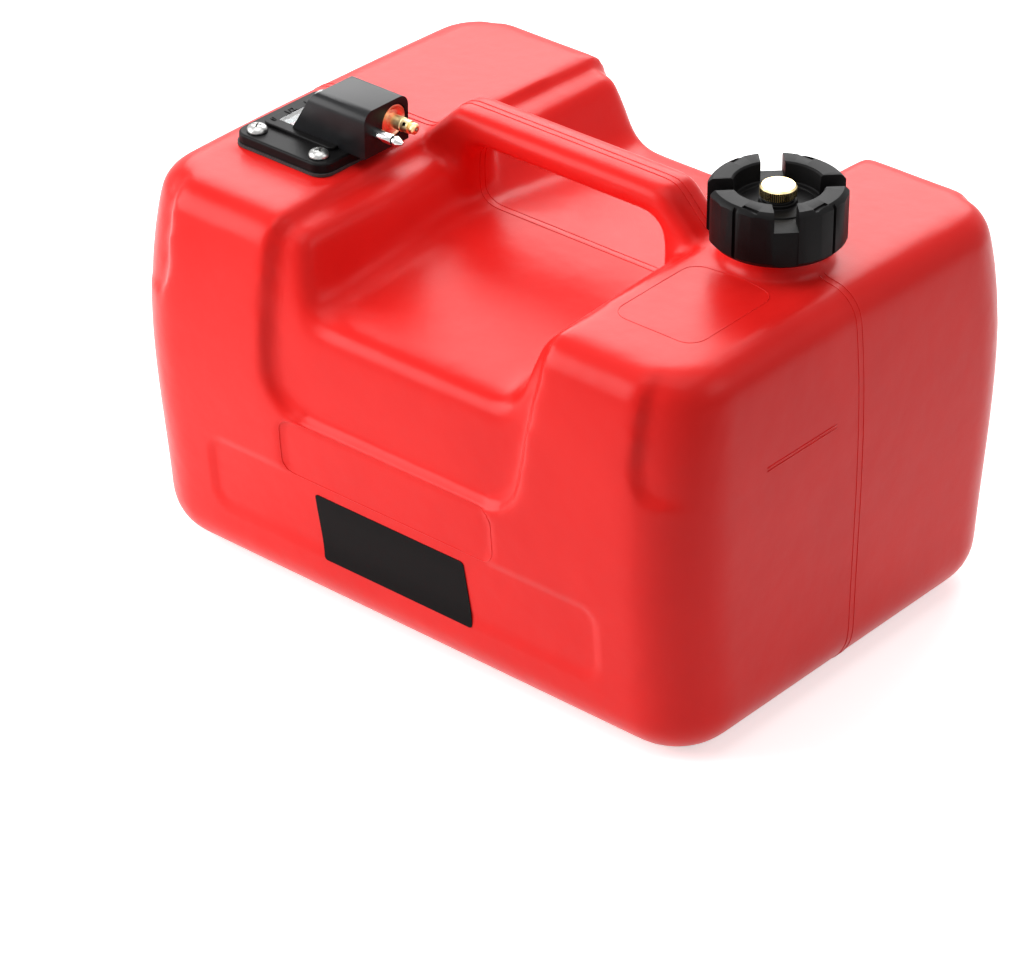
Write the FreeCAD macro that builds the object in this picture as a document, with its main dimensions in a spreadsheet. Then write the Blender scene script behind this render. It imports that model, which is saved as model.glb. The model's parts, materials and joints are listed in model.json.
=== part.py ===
import FreeCAD, Part
import math
import os
import Sketcher

# Portable outboard fuel tank, 12 litres, in millimetres.
# X runs along the tank towards the filler, the front is at -Y, Z is up.
# The origin is on the ground under the middle of the tank.

SIZES = [
    # blow-moulded tank
    ("tank_length", 355.0), ("girth_width", 266.5), ("block_height", 206.5),
    ("crown_rise", 2.5), ("girth_level", 141.5), ("side_tuck", 10.0),
    ("flank_level", 75.0), ("flank_tuck", 3.4),
    ("end_taper", 5.8), ("side_taper", 10.2), ("corner_round", 35.0),
    ("foot_round", 26.0), ("top_round", 18.0), ("wall", 3.0),
    # saddle under the handle, falling to both long sides from its ridge
    ("saddle_left", -57.0), ("saddle_right", 68.0), ("ridge_depth", 28.1),
    ("saddle_fall", 7.3), ("saddle_lean", 0.33), ("saddle_round", 14.0),
    ("brim_round", 10.0),
    # shallow recess that frames the saddle and the front panel
    ("recess_depth", 6.0), ("recess_left", -83.0), ("recess_right_low", 76.0),
    ("recess_right_top", 88.0), ("recess_foot", 107.5), ("recess_round", 26.0),
    # relieved corner columns
    ("column_depth", 4.7), ("column_start", 146.5), ("column_foot", 146.0),
    ("column_round", 14.0),
    # carrying handle
    ("handle_rise", 24.0), ("handle_depth", 17.0), ("handle_width", 28.0),
    ("handle_edge", 7.5), ("handle_left", -66.0), ("handle_right", 65.5),
    ("handle_ramp", 24.0), ("grip_left", -57.5), ("grip_right", 64.5),
    ("grip_round", 11.0),
    # filler neck
    ("neck_x", 124.3), ("neck_radius", 24.5), ("neck_bore", 20.5),
    ("neck_rise", 25.5), ("neck_flare", 3.0),
    # fuel meter head
    ("meter_x", -120.5), ("meter_y", -47.5), ("land_rise", 2.8),
    ("port_radius", 21.0), ("plate_length", 60.0), ("plate_width", 64.0),
    ("plate_round", 8.0), ("gasket_thickness", 1.5), ("gasket_lip", 0.6),
    ("flange_thickness", 5.2), ("platform_rise", 1.8), ("platform_left", -24.0),
    ("platform_right", 22.5), ("platform_width", 34.0),
    ("screw_pitch_x", 41.0), ("screw_pitch_y", 48.0), ("screw_radius", 2.45),
    ("screw_clearance", 0.3), ("head_radius", 5.2), ("head_height", 3.6),
    ("screw_length", 13.0), ("insert_radius", 3.5), ("insert_length", 8.0),
    ("boss_radius", 6.5), ("boss_length", 14.0),
    # gauge window and its drum
    ("window_x", -12.4), ("window_y", -1.0), ("window_size_x", 12.5),
    ("window_size_y", 19.5), ("lens_thickness", 2.5), ("seal_thickness", 0.5),
    ("shelf_width", 1.5), ("shelf_thickness", 1.5),
    ("pivot_x", -8.0), ("pivot_depth", 9.3), ("pivot_radius", 1.5),
    ("drum_radius", 11.5), ("drum_width", 13.0), ("drum_rim", 2.0),
    ("drum_hub", 4.0), ("drum_web", 5.0), ("side_play", 0.5), ("ear_thickness", 2.0),
    ("ear_drop", 14.0), ("bracket_radius", 20.2), ("bracket_thickness", 2.0),
    # float
    ("arm_length", 180.0), ("arm_radius", 1.5), ("float_rest", 33.1),
    ("arm_knee", 68.0), ("knee_angle", 29.0), ("arm_bend", 12.0),
    ("float_radius", 13.0), ("float_length", 38.0),
    ("float_offset", 3.0), ("clip_thickness", 0.8),
    # pickup
    ("pickup_x", 14.0), ("pickup_y", 8.5), ("tube_radius", 3.5), ("tube_bore", 2.5),
    ("tube_foot", 9.0), ("strainer_foot", 5.5), ("strainer_height", 21.0),
    ("strainer_radius", 7.0), ("strainer_wall", 1.0), ("channel_radius", 2.5),
    ("o_ring_section", 1.5), ("o_ring_inner", 3.6),
    # fuel connector in its housing
    ("housing_back", -7.6), ("housing_brow", 6.2), ("housing_face", 40.5),
    ("housing_rise", 31.2), ("housing_width", 31.4), ("housing_y", 2.85),
    ("housing_round", 6.0), ("connector_y", 8.5), ("connector_rise", 19.7),
    ("cup_radius", 8.7), ("cup_depth", 3.6), ("thread_radius", 5.0),
    ("thread_length", 17.2), ("barrel_radius", 3.6), ("barrel_end", 6.0),
    ("nose_end", 14.5), ("valve_bore", 1.8), ("valve_seat", 4.3),
    ("nose_bore", 1.1), ("poppet_stem", 0.75), ("poppet_head", 1.6),
    ("poppet_show", 0.6), ("spring_wire", 0.18), ("spring_foot", -12.0),
    ("pin_y", -5.0), ("pin_rise", 18.2), ("pin_radius", 2.7),
    ("pin_reach", 18.0), ("pin_root", 15.0), ("pin_root_radius", 2.0),
    # filler cap
    ("cap_overlap", 11.0), ("cap_radius", 33.0), ("cap_height", 28.4),
    ("cap_foot_radius", 30.5), ("cap_crown_radius", 31.4), ("cap_shoulder", 26.0),
    ("cap_clearance", 1.2), ("cap_floor", 18.5), ("dish_radius", 21.0),
    ("cap_gap_width", 11.6), ("cap_gap_radius", 31.2), ("cap_groove", 1.7),
    ("seal_ring", 2.2),
    ("boss_top", 20.6), ("vent_boss", 9.0), ("bushing_radius", 4.5),
    ("bushing_foot", 8.0), ("vent_radius", 3.0), ("vent_seal_radius", 7.5),
    ("vent_seal_thickness", 1.4), ("knob_radius", 8.75), ("knob_height", 5.5),
    ("vent_foot", 4.0), ("vent_bore", 1.0), ("clip_level", 4.8),
    # clearances
    ("running", 0.05), ("press", 0.05), ("slack", 0.4),
]

# Levels and an angle that follow from the sizes above, each in its own cell.
DERIVED = [
    ("ridge_level", "block_height - ridge_depth"),
    ("handle_top", "block_height + handle_rise"),
    ("neck_top", "block_height + neck_rise"),
    ("land_top", "block_height + land_rise"),
    ("pivot_level", "land_top - pivot_depth"),
    ("housing_top", "land_top + housing_rise"),
    ("connector_level", "land_top + connector_rise"),
    ("pin_level", "land_top + pin_rise"),
    ("cap_foot", "neck_top - cap_overlap"),
    ("arm_rest_angle", "asin((pivot_level - float_rest) / arm_length) / 1 deg"),
]

UPRIGHT = FreeCAD.Rotation()
ALONG_X = FreeCAD.Rotation(FreeCAD.Vector(0, 1, 0), 90)
ALONG_Y = FreeCAD.Rotation(FreeCAD.Vector(1, 0, 0), -90)
FAR = "500"

doc = FreeCAD.newDocument("fuel_tank")
sheet = doc.addObject("Spreadsheet::Sheet", "sheet")


def fill_sheet():
    """Writes every size to its own named cell, the derived ones as formulas."""
    rows = SIZES + [(alias, "=" + formula) for alias, formula in DERIVED]
    for row, (alias, value) in enumerate(rows, start=1):
        sheet.set("A%d" % row, alias)
        sheet.set("B%d" % row, str(value))
        sheet.setAlias("B%d" % row, alias)
    doc.recompute()


def spell(text):
    """Turns words in braces into references to the sheet's cells."""
    return str(text).replace("{", "sheet.").replace("}", "")


def number(text):
    """The present value of an expression on the sheet."""
    return float(sheet.evalExpression(spell(text)))


def bind(item, prop, text):
    item.setExpression(prop, spell(text))


# ---------------------------------------------------------------- sketches

def origin_plane(body, role):
    return [item for item in body.Origin.OriginFeatures if item.Role == role][0]


def new_body(name, x="0", y="0", z="0", rotation=UPRIGHT):
    body = doc.addObject("PartDesign::Body", name)
    body.Placement = FreeCAD.Placement(FreeCAD.Vector(), rotation)
    for axis, text in zip("xyz", (x, y, z)):
        bind(body, "Placement.Base." + axis, text)
    return body


def new_sketch(body, role, lift="0"):
    sketch = body.newObject("Sketcher::SketchObject", body.Name + "_sketch")
    sketch.AttachmentSupport = [(origin_plane(body, role), "")]
    sketch.MapMode = "FlatFace"
    bind(sketch, "AttachmentOffset.Base.z", lift)
    return sketch


def fix_point(sketch, geometry, position, x, y):
    """Holds one point of a sketch at two expressions on the sheet."""
    for kind, text in (("DistanceX", x), ("DistanceY", y)):
        made = Sketcher.Constraint(kind, geometry, position, number(text))
        bind(sketch, "Constraints[%d]" % sketch.addConstraint(made), text)


def draw_outline(sketch, corners):
    """A closed outline of corners (x, y) or (x, y, radius of its rounding)."""
    spots = [FreeCAD.Vector(number(c[0]), number(c[1]), 0) for c in corners]
    first = sketch.GeometryCount
    count = len(corners)
    for index in range(count):
        line = Part.LineSegment(spots[index], spots[(index + 1) % count])
        sketch.addGeometry(line, False)
    for index in range(count):
        joined = first + (index + 1) % count
        sketch.addConstraint(Sketcher.Constraint("Coincident", first + index, 2, joined, 1))
    for index, corner in enumerate(corners):
        fix_point(sketch, first + index, 1, corner[0], corner[1])
    for index, corner in enumerate(corners):
        if len(corner) > 2:
            arc = sketch.GeometryCount
            sketch.fillet(first + index, 1, number(corner[2]), True, True)
            made = Sketcher.Constraint("Radius", arc, number(corner[2]))
            bind(sketch, "Constraints[%d]" % sketch.addConstraint(made), corner[2])


def draw_circles(sketch, circles):
    """Circles given as (x, y, radius)."""
    for x, y, radius in circles:
        centre = FreeCAD.Vector(number(x), number(y), 0)
        upward = FreeCAD.Vector(0, 0, 1)
        index = sketch.addGeometry(Part.Circle(centre, upward, number(radius)), False)
        fix_point(sketch, index, 3, x, y)
        made = Sketcher.Constraint("Radius", index, number(radius))
        bind(sketch, "Constraints[%d]" % sketch.addConstraint(made), radius)


def rectangle(x_low, x_high, y_low, y_high, radius=None):
    rounding = () if radius is None else (radius,)
    spots = ((x_low, y_low), (x_high, y_low), (x_high, y_high), (x_low, y_high))
    return [spot + rounding for spot in spots]


# ---------------------------------------------------------------- features

def pad(body, sketch, length, both_ways=False):
    feature = body.newObject("PartDesign::Pad", body.Name + "_pad")
    feature.Profile = sketch
    feature.Midplane = both_ways
    bind(feature, "Length", length)
    return feature


def pocket(body, sketch, depth=None, both_ways=False, reverse=False):
    """Cuts to a depth below the sketch, or through everything."""
    feature = body.newObject("PartDesign::Pocket", body.Name + "_pocket")
    feature.Profile = sketch
    feature.Midplane = both_ways
    feature.Reversed = reverse
    if depth is None:
        feature.Type = "ThroughAll"
    else:
        bind(feature, "Length", depth)
    return feature


def turned(name, corners, x="0", y="0", z="0", rotation=UPRIGHT):
    """A body turned about its own Z from a half section of (radius, height)."""
    body = new_body(name, x, y, z, rotation)
    sketch = new_sketch(body, "XZ_Plane")
    draw_outline(sketch, corners)
    feature = body.newObject("PartDesign::Revolution", name + "_turning")
    feature.Profile = sketch
    feature.ReferenceAxis = (sketch, ["V_Axis"])
    feature.Angle = 360
    return body


def copies_around(body, feature, sketch, count):
    """Repeats a feature evenly about the sketch's normal."""
    pattern = body.newObject("PartDesign::PolarPattern", body.Name + "_pattern")
    pattern.Originals = [feature]
    pattern.Axis = (sketch, ["N_Axis"])
    pattern.Angle = 360
    pattern.Occurrences = count
    body.Tip = pattern
    return pattern


def edges_where(shape, test):
    """Names of the edges whose middle point and direction pass the test."""
    found = []
    for index, edge in enumerate(shape.Edges, start=1):
        middle = edge.valueAt((edge.FirstParameter + edge.LastParameter) / 2)
        along = edge.tangentAt((edge.FirstParameter + edge.LastParameter) / 2)
        if test(middle, along):
            found.append("Edge%d" % index)
    return found


def round_edges(body, test, radius, kind="PartDesign::Fillet"):
    """Rounds or chamfers the tip's edges that pass the test."""
    doc.recompute()
    base = body.Tip
    names = edges_where(base.Shape, test)
    feature = body.newObject(kind, body.Name + "_" + kind.split("::")[1].lower())
    feature.Base = (base, names)
    bind(feature, "Radius" if kind.endswith("Fillet") else "Size", radius)
    return feature


def cut(name, base, tool):
    made = doc.addObject("Part::Cut", name)
    made.Base = base
    made.Tool = tool
    return made


def fuse(name, pieces):
    made = doc.addObject("Part::MultiFuse", name)
    made.Shapes = pieces
    return made


def group(name, pieces):
    made = doc.addObject("Part::Compound", name)
    made.Links = pieces
    return made


# ---------------------------------------------------------------- tank body

def plan_section(body, half_length, half_width, radius, level):
    """One rounded rectangle of the moulded block, at its own height."""
    sketch = new_sketch(body, "XY_Plane", level)
    corners = rectangle("-(%s)" % half_length, half_length,
                        "-(%s)" % half_width, half_width, radius)
    draw_outline(sketch, corners)
    return sketch


def moulded_block(name, inset_x="0", inset_y="0", inset_z="0"):
    """The tank's outer form, or the same form inset by a wall or a recess."""
    body = new_body(name)
    length = "{tank_length}/2-(%s)" % inset_x
    width = "{girth_width}/2-(%s)" % inset_y
    radius = "{corner_round}-(%s)" % inset_y
    crest = "{block_height}+{crown_rise}-(%s)" % inset_z
    foot = plan_section(body, length, width + "-{side_tuck}", radius, inset_z)
    flank = plan_section(body, length, width + "-{flank_tuck}", radius, "{flank_level}")
    girth = plan_section(body, length, width, radius, "{girth_level}")
    head = plan_section(body, length + "-{end_taper}", width + "-{side_taper}",
                        radius, crest)
    loft = body.newObject("PartDesign::AdditiveLoft", name + "_loft")
    loft.Profile = foot
    loft.Sections = [flank, girth, head]
    crown_top(body, crest, "{girth_width}/2-{side_taper}-(%s)" % inset_y)
    low = number(inset_z) + 0.01
    round_edges(body, lambda spot, along: spot.z < low, "{foot_round}-(%s)" % inset_z)
    high = number(crest + "-{crown_rise}") - 1
    round_edges(body, lambda spot, along: spot.z > high, "{top_round}-(%s)" % inset_z)
    return body


def crown_top(body, crest, half_width):
    """Bows the top face down from its crest line towards both long sides."""
    sketch = new_sketch(body, "YZ_Plane")
    reach = "((%s)+30)" % half_width
    drop = "({crown_rise}*(%s/(%s))^2)" % (reach, half_width)
    top, side, edge = number(crest), number(reach), number(crest + "-" + drop)
    left, right = FreeCAD.Vector(-side, edge, 0), FreeCAD.Vector(side, edge, 0)
    high_left = FreeCAD.Vector(-side, top + 30, 0)
    high_right = FreeCAD.Vector(side, top + 30, 0)
    sketch.addGeometry(Part.Arc(right, FreeCAD.Vector(0, top, 0), left), False)
    sketch.addGeometry(Part.LineSegment(left, high_left), False)
    sketch.addGeometry(Part.LineSegment(high_left, high_right), False)
    sketch.addGeometry(Part.LineSegment(high_right, right), False)
    for index in range(4):
        joined = Sketcher.Constraint("Coincident", index, 2, (index + 1) % 4, 1)
        sketch.addConstraint(joined)
    fix_point(sketch, 0, 1, reach, crest + "-" + drop)
    fix_point(sketch, 0, 2, "-" + reach, crest + "-" + drop)
    fix_point(sketch, 2, 1, "-" + reach, crest + "+30")
    fix_point(sketch, 2, 2, reach, crest + "+30")
    radius = "(%s^2+%s^2)/(2*%s)" % (reach, drop, drop)
    made = Sketcher.Constraint("Radius", 0, number(radius))
    bind(sketch, "Constraints[%d]" % sketch.addConstraint(made), radius)
    pocket(body, sketch, both_ways=True)


def saddle_cutter(name, grow="0"):
    """Cuts the saddle: one section driven down each way from the ridge."""
    body = new_body(name)
    floor = "{ridge_level}-(%s)" % grow
    left, right = "{saddle_left}-(%s)" % grow, "{saddle_right}+(%s)" % grow
    spread = "{saddle_lean}*(300-{ridge_level})"
    sketch = new_sketch(body, "XZ_Plane")
    draw_outline(sketch, [
        (left, floor, "{saddle_round}+(%s)" % grow),
        (right, floor, "{saddle_round}+(%s)" % grow),
        (right + "+" + spread, "300"),
        (left + "-" + spread, "300"),
    ])
    run = pad(body, sketch, "{girth_width}")
    run.UseCustomVector = True
    run.AlongSketchNormal = False
    bind(run, "Direction.x", "0")
    bind(run, "Direction.y", "-cos({saddle_fall})")
    bind(run, "Direction.z", "-sin({saddle_fall})")
    mirror = body.newObject("PartDesign::Mirrored", name + "_mirror")
    mirror.Originals = [run]
    mirror.MirrorPlane = (origin_plane(body, "XZ_Plane"), [""])
    body.Tip = mirror
    return body


def recess_region(name, grow="0"):
    """The framed area, seen from the front, that the shallow recess covers."""
    body = new_body(name)
    left, foot = "{recess_left}-(%s)" % grow, "{recess_foot}-(%s)" % grow
    low, high = "{recess_right_low}+(%s)" % grow, "{recess_right_top}+(%s)" % grow
    sketch = new_sketch(body, "XZ_Plane")
    draw_outline(sketch, [
        (left, foot, "{recess_round}+(%s)" % grow),
        (low, foot, "{recess_round}+(%s)" % grow),
        (high, "{block_height}-{top_round}"),
        (high, "300"),
        (left, "300"),
    ])
    pad(body, sketch, FAR, both_ways=True)
    return body


def column_region(name, grow="0"):
    """The relieved upper corners at both ends, seen from the front."""
    body = new_body(name)
    start, foot = "{column_start}-(%s)" % grow, "{column_foot}-(%s)" % grow
    sketch = new_sketch(body, "XZ_Plane")
    draw_outline(sketch, [(start, foot, "{column_round}+(%s)" % grow), ("250", foot),
                          ("250", "300"), (start, "300")])
    run = pad(body, sketch, FAR, both_ways=True)
    mirror = body.newObject("PartDesign::Mirrored", name + "_mirror")
    mirror.Originals = [run]
    mirror.MirrorPlane = (origin_plane(body, "YZ_Plane"), [""])
    body.AllowCompound = True
    body.Tip = mirror
    return body


def tank_form(name, grow="0"):
    """Block less saddle, recess and corner relief, all inset alike."""
    block = moulded_block(name + "_block", grow, grow, grow)
    deep = "%s+{recess_depth}" % grow
    recess = cut(name + "_recess", recess_region(name + "_recess_region", grow),
                 moulded_block(name + "_recess_block", deep, deep, deep))
    long = "%s-1" % grow
    columns = cut(name + "_columns", column_region(name + "_column_region", grow),
                  moulded_block(name + "_column_block", long,
                                "%s+{column_depth}" % grow, long))
    framed = cut(name + "_framed", block, fuse(name + "_reliefs", [recess, columns]))
    saddle = saddle_cutter(name + "_saddle", grow)
    return rounded_brim(name, cut(name + "_saddled", framed, saddle), framed, saddle,
                        "{brim_round}-(%s)" % grow)


def rounded_brim(name, form, framed, saddle, radius):
    """Rounds the brim, which lies on the saddle's wall and on the framed block's skin."""
    doc.recompute()
    skins = [item.Shape.Shells[0] for item in (framed, saddle)]
    reach = number(radius)
    around = saddle.Shape.BoundBox
    edges = []
    for index, edge in enumerate(form.Shape.Edges, start=1):
        middle = edge.valueAt((edge.FirstParameter + edge.LastParameter) / 2)
        if abs(middle.y) < 1 or not around.isInside(middle):
            continue
        spot = Part.Vertex(middle)
        if all(spot.distToShape(skin)[0] < 0.01 for skin in skins):
            edges.append((index, reach, reach))
    made = doc.addObject("Part::Fillet", name)
    made.Base = form
    made.Edges = edges
    return made


def handle_bar(name, grow="0"):
    """The arched handle round its finger opening, or the handle's hollow core."""
    body = new_body(name)
    top, under = "{handle_top}-(%s)" % grow, "{handle_top}-{handle_depth}+(%s)" % grow
    left, right = "{handle_left}+(%s)/2" % grow, "{handle_right}-(%s)/2" % grow
    sill = "{ridge_level}-{wall}*0.7-(%s)" % grow
    root, round_off = sill + "-20", "{grip_round}+(%s)" % grow
    sketch = new_sketch(body, "XZ_Plane")
    draw_outline(sketch, [
        (left, top, "{grip_round}"), (left + "-{handle_ramp}", top + "-{handle_ramp}"),
        (left + "-{handle_ramp}", root), (right + "+{handle_ramp}", root),
        (right + "+{handle_ramp}", top + "-{handle_ramp}"), (right, top, "{grip_round}"),
    ])
    draw_outline(sketch, rectangle("{grip_left}-(%s)" % grow, "{grip_right}+(%s)" % grow,
                                   sill, under, round_off))
    pad(body, sketch, "{handle_width}-2*(%s)" % grow, both_ways=True)
    side = number("{handle_width}/2-(%s)" % grow) - 0.01
    low = number(root) + 1
    centre = number("({handle_right}+{handle_left})/2")
    reach = number("({handle_right}-{handle_left})/2+{handle_ramp}-(%s)/2" % grow) - 1

    def long_edge(spot, along):
        return abs(spot.y) > side and spot.z > low and abs(spot.x - centre) < reach

    round_edges(body, long_edge, "{handle_edge}-(%s)" % grow)
    return body


def filler_neck(name):
    """The threaded mouth's plain wall, flared where it meets the block."""
    foot = "{block_height}-{wall}/2"
    return turned(name, [
        ("{neck_bore}", foot),
        ("{neck_radius}+{neck_flare}", foot),
        ("{neck_radius}+{neck_flare}", "{block_height}+{crown_rise}"),
        ("{neck_radius}", "{block_height}+{crown_rise}+{neck_flare}"),
        ("{neck_radius}", "{neck_top}"),
        ("{neck_bore}", "{neck_top}"),
    ], x="{neck_x}")


def meter_land(name):
    """A flat moulded land that carries the meter head on the crowned top."""
    body = new_body(name, "{meter_x}", "{meter_y}", "{block_height}-{wall}")
    sketch = new_sketch(body, "XY_Plane")
    half_x, half_y = "{plate_length}/2+{gasket_lip}+1", "{plate_width}/2+{gasket_lip}+1"
    draw_outline(sketch, rectangle("-(%s)" % half_x, half_x, "-(%s)" % half_y, half_y,
                                   "{plate_round}+1"))
    pad(body, sketch, "{land_top}-{block_height}+{wall}")
    return body


def corner_spots(scale=""):
    """The four meter screws, about the meter's own centre."""
    x, y = "{screw_pitch_x}/2", "{screw_pitch_y}/2"
    return [(x, y), ("-" + x, y), (x, "-" + y), ("-" + x, "-" + y)]


def upright_rods(name, radius, foot, length):
    """Four rods at the meter screws, used as bosses and as holes."""
    body = new_body(name, "{meter_x}", "{meter_y}", foot)
    body.AllowCompound = True
    sketch = new_sketch(body, "XY_Plane")
    draw_circles(sketch, [(x, y, radius) for x, y in corner_spots()])
    pad(body, sketch, length)
    return body


def round_tool(name, radius, x, y, foot, length):
    tool = doc.addObject("Part::Cylinder", name)
    bind(tool, "Radius", radius)
    bind(tool, "Height", length)
    for axis, text in zip("xyz", (x, y, foot)):
        bind(tool, "Placement.Base." + axis, text)
    return tool


def tank_body():
    """One hollow moulding with handle, filler neck and the meter's land."""
    outside = fuse("tank_outside", [tank_form("form"), handle_bar("handle"),
                                    filler_neck("neck"), meter_land("land")])
    walls = cut("tank_walls", outside, tank_form("hollow", "{wall}"))
    shell = cut("tank_shell", walls, handle_bar("handle_core", "{wall}"))
    bosses = upright_rods("bosses", "{boss_radius}", "{land_top}-{boss_length}", "{boss_length}")
    bossed = fuse("tank_bossed", [shell, bosses])
    holes = upright_rods("insert_holes", "{insert_radius}",
                         "{land_top}-{insert_length}-3", "{insert_length}+4")
    mouth = round_tool("mouth", "{neck_bore}", "{neck_x}", "0",
                       "{block_height}-20", "{neck_top}-{block_height}+30")
    port = round_tool("port", "{port_radius}", "{meter_x}", "{meter_y}",
                      "{block_height}-20", "40")
    openings = fuse("tank_openings", [holes, mouth, port])
    return cut("tank_body", bossed, openings)


# ---------------------------------------------------------------- meter head

PLATE_FOOT = "{land_top}+{gasket_thickness}"
FLANGE_TOP = PLATE_FOOT + "+{flange_thickness}"
PLATFORM_TOP = FLANGE_TOP + "+{platform_rise}"


def threaded_inserts():
    pieces = []
    for index, (x, y) in enumerate(corner_spots(), start=1):
        name = "insert_%d" % index
        section = [("{screw_radius}+{running}", "0"), ("{insert_radius}", "0"),
                   ("{insert_radius}", "{insert_length}"),
                   ("{screw_radius}+{running}", "{insert_length}")]
        pieces.append(turned(name, section, "{meter_x}+" + x, "{meter_y}+" + y,
                             "{land_top}-{insert_length}"))
    return group("threaded_inserts", pieces)


def meter_gasket():
    body = new_body("meter_gasket", "{meter_x}", "{meter_y}", "{land_top}")
    sketch = new_sketch(body, "XY_Plane")
    half_x, half_y = "{plate_length}/2+{gasket_lip}", "{plate_width}/2+{gasket_lip}"
    draw_outline(sketch, rectangle("-(%s)" % half_x, half_x, "-(%s)" % half_y, half_y,
                                   "{plate_round}"))
    hole = "{screw_radius}+{screw_clearance}"
    draw_circles(sketch, [("0", "0", "{port_radius}")])
    draw_circles(sketch, [(x, y, hole) for x, y in corner_spots()])
    pad(body, sketch, "{gasket_thickness}")
    return body


def window_outline(margin="0"):
    """The gauge window's rectangle about the meter's centre, less a margin."""
    half_x = "{window_size_x}/2-(%s)" % margin
    half_y = "{window_size_y}/2-(%s)" % margin
    return rectangle("{window_x}-(%s)" % half_x, "{window_x}+(%s)" % half_x,
                     "{window_y}-(%s)" % half_y, "{window_y}+(%s)" % half_y, "1")


def bracket_screw_spots():
    return [("8", "-14"), ("2", "15.5")]


def meter_plate():
    """Screwed flange, raised platform, window shelf, drum well and pickup socket."""
    body = new_body("meter_plate", "{meter_x}", "{meter_y}", PLATE_FOOT)
    sketch = new_sketch(body, "XY_Plane")
    draw_outline(sketch, rectangle("-{plate_length}/2", "{plate_length}/2",
                                   "-{plate_width}/2", "{plate_width}/2", "{plate_round}"))
    pad(body, sketch, "{flange_thickness}")
    top = number("{flange_thickness}") - 0.01
    round_edges(body, lambda spot, along: spot.z > top, "1.2")
    platform = new_sketch(body, "XY_Plane", "{flange_thickness}")
    draw_outline(platform, rectangle("{platform_left}", "{platform_right}",
                                     "-{platform_width}/2", "{platform_width}/2", "3"))
    pad(body, platform, "{platform_rise}")
    peak = number("{flange_thickness}+{platform_rise}") - 0.01
    round_edges(body, lambda spot, along: spot.z > peak, "0.6")
    crest = "{flange_thickness}+{platform_rise}"
    lens_seat = new_sketch(body, "XY_Plane", crest)
    draw_outline(lens_seat, window_outline())
    pocket(body, lens_seat, "{lens_thickness}+{seal_thickness}")
    light = new_sketch(body, "XY_Plane", crest)
    draw_outline(light, window_outline("{shelf_width}"))
    pocket(body, light)
    well = new_sketch(body, "XY_Plane")
    reach = "{drum_radius}+1"
    wide = "{drum_width}/2+1.5"
    draw_outline(well, rectangle("{pivot_x}-(%s)" % reach, "{pivot_x}+%s" % reach,
                                 "{window_y}-(%s)" % wide, "{window_y}+%s" % wide, "1"))
    pocket(body, well, crest + "-{lens_thickness}-{seal_thickness}-{shelf_thickness}",
           reverse=True)
    socket = new_sketch(body, "XY_Plane")
    draw_circles(socket, [("{pickup_x}", "{pickup_y}", "{tube_radius}+{press}")])
    pocket(body, socket, "{flange_thickness}", reverse=True)
    channel = new_sketch(body, "XY_Plane", crest)
    draw_circles(channel, [("{pickup_x}", "{pickup_y}", "{channel_radius}")])
    pocket(body, channel)
    groove = new_sketch(body, "XY_Plane", crest)
    draw_circles(groove, [("{pickup_x}", "{pickup_y}", "{o_ring_inner}"),
                          ("{pickup_x}", "{pickup_y}", "{o_ring_inner}+{o_ring_section}+0.1")])
    pocket(body, groove, "{o_ring_section}-0.3")
    hole = "{screw_radius}+{screw_clearance}"
    holes = new_sketch(body, "XY_Plane", crest)
    draw_circles(holes, [(x, y, hole) for x, y in corner_spots()])
    pocket(body, holes)
    blind = new_sketch(body, "XY_Plane")
    draw_circles(blind, [(x, y, "1.45") for x, y in bracket_screw_spots()])
    pocket(body, blind, "4", reverse=True)
    return body


def channel_o_ring():
    """A squeezed ring between the platform and the housing."""
    foot = PLATFORM_TOP + "-{o_ring_section}+0.3"
    inner = "{o_ring_inner}+0.05"
    outer = "{o_ring_inner}+{o_ring_section}"
    tall = "{o_ring_section}-0.3"
    return turned("channel_o_ring", [
        (inner + "+0.3", "0"), (outer + "-0.3", "0"), (outer, "0.35"),
        (outer, tall + "-0.35"), (outer + "-0.3", tall), (inner + "+0.3", tall),
        (inner, tall + "-0.35"), (inner, "0.35"),
    ], "{meter_x}+{pickup_x}", "{meter_y}+{pickup_y}", foot)


def window_seal():
    body = new_body("window_seal", "{meter_x}", "{meter_y}",
                    PLATFORM_TOP + "-{lens_thickness}-{seal_thickness}")
    sketch = new_sketch(body, "XY_Plane")
    draw_outline(sketch, window_outline("{running}"))
    draw_outline(sketch, window_outline("{shelf_width}"))
    pad(body, sketch, "{seal_thickness}")
    return body


def gauge_window():
    body = new_body("gauge_window", "{meter_x}", "{meter_y}", PLATFORM_TOP + "-{lens_thickness}")
    sketch = new_sketch(body, "XY_Plane")
    draw_outline(sketch, window_outline("{running}"))
    pad(body, sketch, "{lens_thickness}")
    return body


def plate_screws():
    pieces = []
    for index, (x, y) in enumerate(corner_spots(), start=1):
        name = "plate_screw_%d" % index
        dome = "{head_radius}*0.62"
        section = [("0", "-{screw_length}"), ("{screw_radius}-0.6", "-{screw_length}"),
                   ("{screw_radius}", "-{screw_length}+0.6"), ("{screw_radius}", "0"),
                   ("{head_radius}", "0"), ("{head_radius}", "{head_height}*0.45"),
                   (dome, "{head_height}"), ("0", "{head_height}")]
        body = turned(name, section, "{meter_x}+" + x, "{meter_y}+" + y, FLANGE_TOP)
        sketch = new_sketch(body, "XY_Plane", "{head_height}")
        draw_outline(sketch, rectangle("-2.3", "2.3", "-0.55", "0.55"))
        pocket(body, sketch, "1.5")
        crossed = new_sketch(body, "XY_Plane", "{head_height}")
        draw_outline(crossed, rectangle("-0.55", "0.55", "-2.3", "2.3"))
        pocket(body, crossed, "1.5")
        pieces.append(body)
    return group("plate_screws", pieces)


# ---------------------------------------------------------------- gauge and float

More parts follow.
